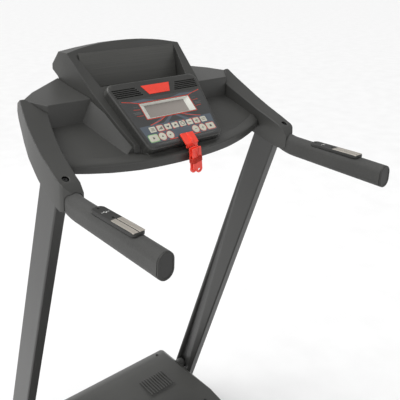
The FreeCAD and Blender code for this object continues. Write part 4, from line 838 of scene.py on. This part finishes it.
def make_tray_lip():
    """Raised lip along the tray's bowed front, higher towards the arms."""
    roll = ((-2.6, -5.0), (-3.0, -1.5), (-2.4, 0.0), (-1.0, 0.35), (1.5, 0.55), (6.0, 0.8),
            (15.0, 1.0), (19.0, 1.0), (20.5, 0.7), (21.0, 0.0), (21.0, -3.0))
    ends = [(-LIP_HALF - 5, 0.45), (-LIP_HALF - 3.5, 0.8)]
    along = ends + [(-LIP_HALF + 2 * LIP_HALF * i / LIP_STEPS, 1.0) for i in range(LIP_STEPS + 1)]
    along += [(-x, share) for x, share in reversed(ends)]
    sections = []
    for x, share in along:
        front = x * x / LIP_BOW
        past = max(0.0, abs(x) - LIP_PLAIN_HALF)
        rise = LIP_LOW + LIP_RISE * past / LIP_GAIN
        depth = min(1.0, 0.5 + past / LIP_WIDENS)
        points = []
        for t, h in roll:
            y = front + (8 + (t - 8) * share) * (depth if t > 0 else 1.0)
            lift = h * rise * share if h > 0 else h
            points.append(console(x, y, tray_level(max(y, 0.0)) + lift))
        sections.append(points)
    bm = bmesh.new()
    loft(bm, sections)
    lip = new_object("tray_lip", bm, "console_plastic")
    settle(soften(lip, 0), "frame", "console_plastic")


# Safety key -----------------------------------------------------------------------
CLIP_AT = (-3.0, -15.5, 0.0)
CLIP_TILT = math.radians(8.0)
CORD_ROUTE = [(0, -4.78, 8.7), (0, -10.3, 9.0), (-0.3, -17.0, 8.2), (-1.2, -24.2, 5.2),
              (-2.3, -25.6, -3.2), (-1.4, -23.75, -11.39), (-0.634, -23.75, -16.835)]

CORD_TURNS, TURN_POINTS = 6, 20    # turns round the clip and points on each
WIND_HALF, WIND_ROUND = (15.3, 8.25), 6.2     # a turn's outline, at the cord's middle
WIND_TOP, WIND_PITCH = -18.2, 2.05
WIND_SKIP = 3                      # points left out where the free stretch runs in
START_TRIES = 400
CURVE_SHARE = 0.985                # the smooth curve's length over its points' straight runs


def in_clip(x, y, z):
    """Point about the hanging clip's top, in metres in the frame."""
    turned = Matrix.Rotation(-CLIP_TILT, 3, "Y") @ Vector((x, y, z))
    return console(*(turned + Vector(CLIP_AT)))


def make_cord(diameter):
    """Key cord: the free stretch, then turns round the clip."""
    points = [console(*point) for point in CORD_ROUTE]
    half_x, half_y = WIND_HALF
    lap = rounded_box(half_x, half_y, WIND_ROUND, 4)
    lengths = [math.dist(lap[i], lap[(i + 1) % len(lap)]) for i in range(len(lap))]
    total = sum(lengths)

    def around(share):
        far = (share % 1.0) * total
        for i, length in enumerate(lengths):
            if far <= length:
                a, b = Vector(lap[i]), Vector(lap[(i + 1) % len(lap)])
                return a.lerp(b, far / length)
            far -= length
        return Vector(lap[0])

    start = min((i / START_TRIES for i in range(START_TRIES)),
                key=lambda share: (around(share) - Vector((0, -half_y))).length)
    for i in range(WIND_SKIP, CORD_TURNS * TURN_POINTS):
        place = around(start + i / TURN_POINTS)
        points.append(in_clip(place.x, place.y, WIND_TOP - WIND_PITCH * i / TURN_POINTS))
    curve = bpy.data.curves.new("key_cord", "CURVE")
    curve.dimensions = "3D"
    curve.bevel_depth = diameter / 2
    curve.bevel_resolution = 3
    curve.resolution_u = 6
    curve.use_fill_caps = True
    run = curve.splines.new("NURBS")
    run.points.add(len(points) - 1)
    for point, place in zip(run.points, points):
        point.co = (*place, 1.0)
    run.order_u = 3
    run.use_endpoint_u = True
    curve.materials.append(MATERIALS["cord_red"])
    cord = bpy.data.objects.new("key_cord", curve)
    bpy.context.collection.objects.link(cord)
    settle(cord, "safety_key", "cord_red", "key_lanyard", "key_lanyard_winding")
    length = sum((b - a).length for a, b in zip(points, points[1:]))
    return cord, tuple(points[0]), length * CURVE_SHARE


def make_key(sizes):
    """Red key, its clip and its cord."""
    dressed("safety_key", 0.9)
    clip = dressed("key_clip", 0.7)
    cord, start, length = make_cord(sizes.cord)


# Deck details ---------------------------------------------------------------------
def make_foot_ribs(sizes):
    """Cross ribs that give the foot rails their grip."""
    low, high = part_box("foot_rails")
    pitch = sizes.rib_pitch
    count = int((high[1] - low[1] - 0.05) / pitch)
    for side, name in ((-1, "left"), (1, "right")):
        bm = bmesh.new()
        outline = rounded_box(29, 1.3, 1.25, 2)
        centre = Vector((side * 0.246, low[1] + 0.025, high[2]))
        rings = [[centre + Vector((x * k * MM, y * s * MM, z * MM)) for x, y in outline]
                 for k, s, z in ((1, 1, -0.4), (1, 1, 0.25), (0.985, 0.5, 0.6))]
        loft(bm, rings)
        ribs = new_object("foot_rail_ribs_" + name, bm, "foot_rail")
        repeated(ribs, count, (0, 0, 0), (0, pitch, 0))
        settle(soften(ribs, 0), "deck", "foot_rail")


def make_hood_grille():
    """Air slots across the motor hood's rear face, shown as raised louvres."""
    low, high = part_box("motor_hood")
    for side, name in ((-1, "left"), (1, "right")):
        bm = bmesh.new()
        outline = rounded_box(2.2, 34, 2.1, 3)
        centre = Vector((side * 0.150 - 0.045, (low[1] + high[1]) / 2 + 0.02, high[2]))
        rings = [[centre + Vector((x * k * MM, y * k * MM, z * MM)) for x, y in outline]
                 for k, z in ((1, -0.6), (1, 0.5), (0.92, 1.1))]
        loft(bm, rings)
        louvres = new_object("hood_louvres_" + name, bm, "hood_plastic")
        repeated(louvres, 10, (0, 0, 0), (0.010, 0, 0))
        settle(soften(louvres, 0), "deck", "hood_plastic")


# Stage ----------------------------------------------------------------------------
FLOOR_HALF = 90.0                  # metres
SUN_STRENGTH = 2.0
SUN_SPREAD = math.radians(50)
SUN_TOWARDS = Vector((0.45, -0.35, -1.0))
LENS_MM = 49.79
SENSOR_MM = 36.0
LENS_SHIFT = (0.175, -0.183)
CAMERA_AT = (-0.8302, -0.6179, 1.5087)
CAMERA_BACK = Vector((-0.5798, -0.7669, 0.2750))     # from the target towards the camera


def area_light(name, place, target, size, power):
    """Soft square light that looks at a point."""
    lamp = bpy.data.lights.new(name, "AREA")
    lamp.shape = "SQUARE"
    lamp.size = size
    lamp.energy = power
    made = bpy.data.objects.new(name, lamp)
    made.location = place
    made.rotation_euler = (Vector(target) - Vector(place)).to_track_quat("-Z", "Y").to_euler()
    bpy.context.collection.objects.link(made)


def make_stage():
    """Floor, lights, world and camera."""
    g = Graph("pale_floor")
    mottle = g.noise(g.place(), 6.0, 3.0)
    shade = g.mix(g.part(mottle, 0.3, 0.7), (0.90, 0.90, 0.90), (0.94, 0.94, 0.94))
    g.finish(Base_Color=shade, Roughness=g.part(mottle, 0.3, 0.7, 0.7, 0.8))
    bm = bmesh.new()
    far = FLOOR_HALF
    for x, y in ((-far, -far), (far, -far), (far, far), (-far, far)):
        bm.verts.new((x, y, 0))
    bm.faces.new(bm.verts)
    MATERIALS["pale_floor"] = g.material
    new_object("floor", bm, "pale_floor")
    world = bpy.data.worlds.new("studio")
    world.use_nodes = True
    sky = world.node_tree.nodes["Background"]
    sky.inputs[0].default_value = (1, 1, 1, 1)
    ray = world.node_tree.nodes.new("ShaderNodeLightPath")
    level = world.node_tree.nodes.new("ShaderNodeMapRange")
    level.inputs[3].default_value = WORLD_LIGHT
    world.node_tree.links.new(ray.outputs["Is Camera Ray"], level.inputs[0])
    world.node_tree.links.new(level.outputs[0], sky.inputs[1])
    bpy.context.scene.world = world
    bpy.context.scene.view_settings.view_transform = "Standard"
    sun = bpy.data.lights.new("high_light", "SUN")
    sun.energy = SUN_STRENGTH
    sun.angle = SUN_SPREAD
    high = bpy.data.objects.new("high_light", sun)
    high.rotation_euler = SUN_TOWARDS.to_track_quat("-Z", "Y").to_euler()
    bpy.context.collection.objects.link(high)
    area_light("left_light", (-2.2, 0.0, 2.1), (0, 0.3, 1.0), 2.8, 18)
    area_light("back_light", (1.2, 2.4, 2.3), (0.1, 0.4, 1.1), 2.6, 6)
    lens = bpy.data.cameras.new("camera")
    lens.lens = LENS_MM
    lens.sensor_width = SENSOR_MM
    lens.shift_x, lens.shift_y = LENS_SHIFT
    camera = bpy.data.objects.new("camera", lens)
    back = CAMERA_BACK.normalized()
    right = Vector((0, 0, 1)).cross(back).normalized()
    turn = Matrix((right, back.cross(right), back)).transposed()
    camera.matrix_world = Matrix.Translation(CAMERA_AT) @ turn.to_4x4()
    bpy.context.collection.objects.link(camera)
    bpy.context.scene.camera = camera


# Add-on ---------------------------------------------------------------------------
class TreadmillColours(bpy.types.PropertyGroup):
    """Colours of the machine."""
    console: bpy.props.FloatVectorProperty(
        name="Console", description="Charcoal plastic of the console", subtype="COLOR",
        default=CHARCOAL, min=0, max=1)
    paint: bpy.props.FloatVectorProperty(
        name="Frame paint", description="Powder coat of the steel frame", subtype="COLOR",
        default=(0.052, 0.052, 0.050), min=0, max=1)
    red: bpy.props.FloatVectorProperty(
        name="Safety red", description="Key, cord and emblem", subtype="COLOR",
        default=(0.95, 0.058, 0.030), min=0, max=1)


class TreadmillSizes(bpy.types.PropertyGroup):
    """Sizes of the details that the frame doesn't hold."""
    cord: bpy.props.FloatProperty(
        name="Cord", description="Diameter of the key's cord", default=0.002,
        unit="LENGTH", subtype="DISTANCE")
    rib_pitch: bpy.props.FloatProperty(
        name="Rib pitch", description="Spacing of the foot rails' ribs", default=0.008,
        unit="LENGTH", subtype="DISTANCE")


def ready(context):
    """Make the finishes if they aren't there yet."""
    if not MATERIALS:
        make_materials(context.scene.treadmill_colours)


class TREADMILL_OT_stage(bpy.types.Operator):
    """Floor, lights, world and camera."""
    bl_idname = "treadmill.stage"
    bl_label = "Stage"

    def execute(self, context):
        ready(context)
        make_stage()
        return {"FINISHED"}


class TREADMILL_OT_frame(bpy.types.Operator):
    """Rails, uprights, bolts and pads of the base."""
    bl_idname = "treadmill.frame"
    bl_label = "Frame"

    def execute(self, context):
        ready(context)
        dress_group("frame")
        return {"FINISHED"}


class TREADMILL_OT_console(bpy.types.Operator):
    """Arms, tray, hood and their covers."""
    bl_idname = "treadmill.console"
    bl_label = "Console"

    def execute(self, context):
        ready(context)
        dress_group("console")
        make_tray_lip()
        return {"FINISHED"}


class TREADMILL_OT_display(bpy.types.Operator):
    """Display housing, its printed film, keys and emblem."""
    bl_idname = "treadmill.display"
    bl_label = "Display"

    def execute(self, context):
        ready(context)
        dress_group("display")
        print_film()
        make_keys()
        return {"FINISHED"}


class TREADMILL_OT_handles(bpy.types.Operator):
    """Foam grips with their pulse pods."""
    bl_idname = "treadmill.handles"
    bl_label = "Handles"

    def execute(self, context):
        ready(context)
        grip_details(dress_group("handles"))
        return {"FINISHED"}


class TREADMILL_OT_safety_key(bpy.types.Operator):
    """Red key with its clip and cord."""
    bl_idname = "treadmill.safety_key"
    bl_label = "Safety key"

    def execute(self, context):
        ready(context)
        make_key(context.scene.treadmill_sizes)
        return {"FINISHED"}


class TREADMILL_OT_wheels(bpy.types.Operator):
    """Transport wheels."""
    bl_idname = "treadmill.wheels"
    bl_label = "Wheels"

    def execute(self, context):
        ready(context)
        dress_group("wheels")
        return {"FINISHED"}


class TREADMILL_OT_deck(bpy.types.Operator):
    """Deck frame, board, foot rails and feet."""
    bl_idname = "treadmill.deck"
    bl_label = "Deck"

    def execute(self, context):
        ready(context)
        dress_group("deck")
        make_foot_ribs(context.scene.treadmill_sizes)
        return {"FINISHED"}


class TREADMILL_OT_belt(bpy.types.Operator):
    """Running belt and its rollers."""
    bl_idname = "treadmill.belt"
    bl_label = "Belt"

    def execute(self, context):
        ready(context)
        dress_group("belt")
        return {"FINISHED"}


class TREADMILL_OT_drive(bpy.types.Operator):
    """Motor, its hood, electrics and drive belt."""
    bl_idname = "treadmill.drive"
    bl_label = "Drive"

    def execute(self, context):
        ready(context)
        dress_group("drive")
        make_hood_grille()
        return {"FINISHED"}


class TREADMILL_OT_strut(bpy.types.Operator):
    """Folding strut's tube and rod."""
    bl_idname = "treadmill.strut"
    bl_label = "Strut"

    def execute(self, context):
        ready(context)
        dress_group("strut")
        return {"FINISHED"}


OPERATORS = (TREADMILL_OT_stage,
             TREADMILL_OT_frame,
             TREADMILL_OT_console,
             TREADMILL_OT_display,
             TREADMILL_OT_handles,
             TREADMILL_OT_safety_key,
             TREADMILL_OT_wheels,
             TREADMILL_OT_deck,
             TREADMILL_OT_belt,
             TREADMILL_OT_drive,
             TREADMILL_OT_strut)


class TREADMILL_PT_panel(bpy.types.Panel):
    """Lists the machine's groups of pieces."""
    bl_label = "Treadmill"
    bl_idname = "TREADMILL_PT_panel"
    bl_space_type = "VIEW_3D"
    bl_region_type = "UI"
    bl_category = "Treadmill"

    def draw(self, context):
        """Settings first, then one button for each group."""
        for settings in (context.scene.treadmill_colours, context.scene.treadmill_sizes):
            for key in settings.__annotations__:
                self.layout.prop(settings, key)
        for operator in OPERATORS:
            self.layout.operator(operator.bl_idname)


CLASSES = (TreadmillColours, TreadmillSizes) + OPERATORS + (TREADMILL_PT_panel,)


def register():
    """Register the classes and the scene's settings."""
    for made in CLASSES:
        bpy.utils.register_class(made)
    bpy.types.Scene.treadmill_colours = bpy.props.PointerProperty(type=TreadmillColours)
    bpy.types.Scene.treadmill_sizes = bpy.props.PointerProperty(type=TreadmillSizes)


def unregister():
    """Take them away again."""
    del bpy.types.Scene.treadmill_sizes
    del bpy.types.Scene.treadmill_colours
    for made in reversed(CLASSES):
        bpy.utils.unregister_class(made)


def main():
    """Build everything."""
    register()
    for operator in OPERATORS:
        getattr(bpy.ops.treadmill, operator.bl_idname.split(".")[1])()


if __name__ == "__main__":
    main()
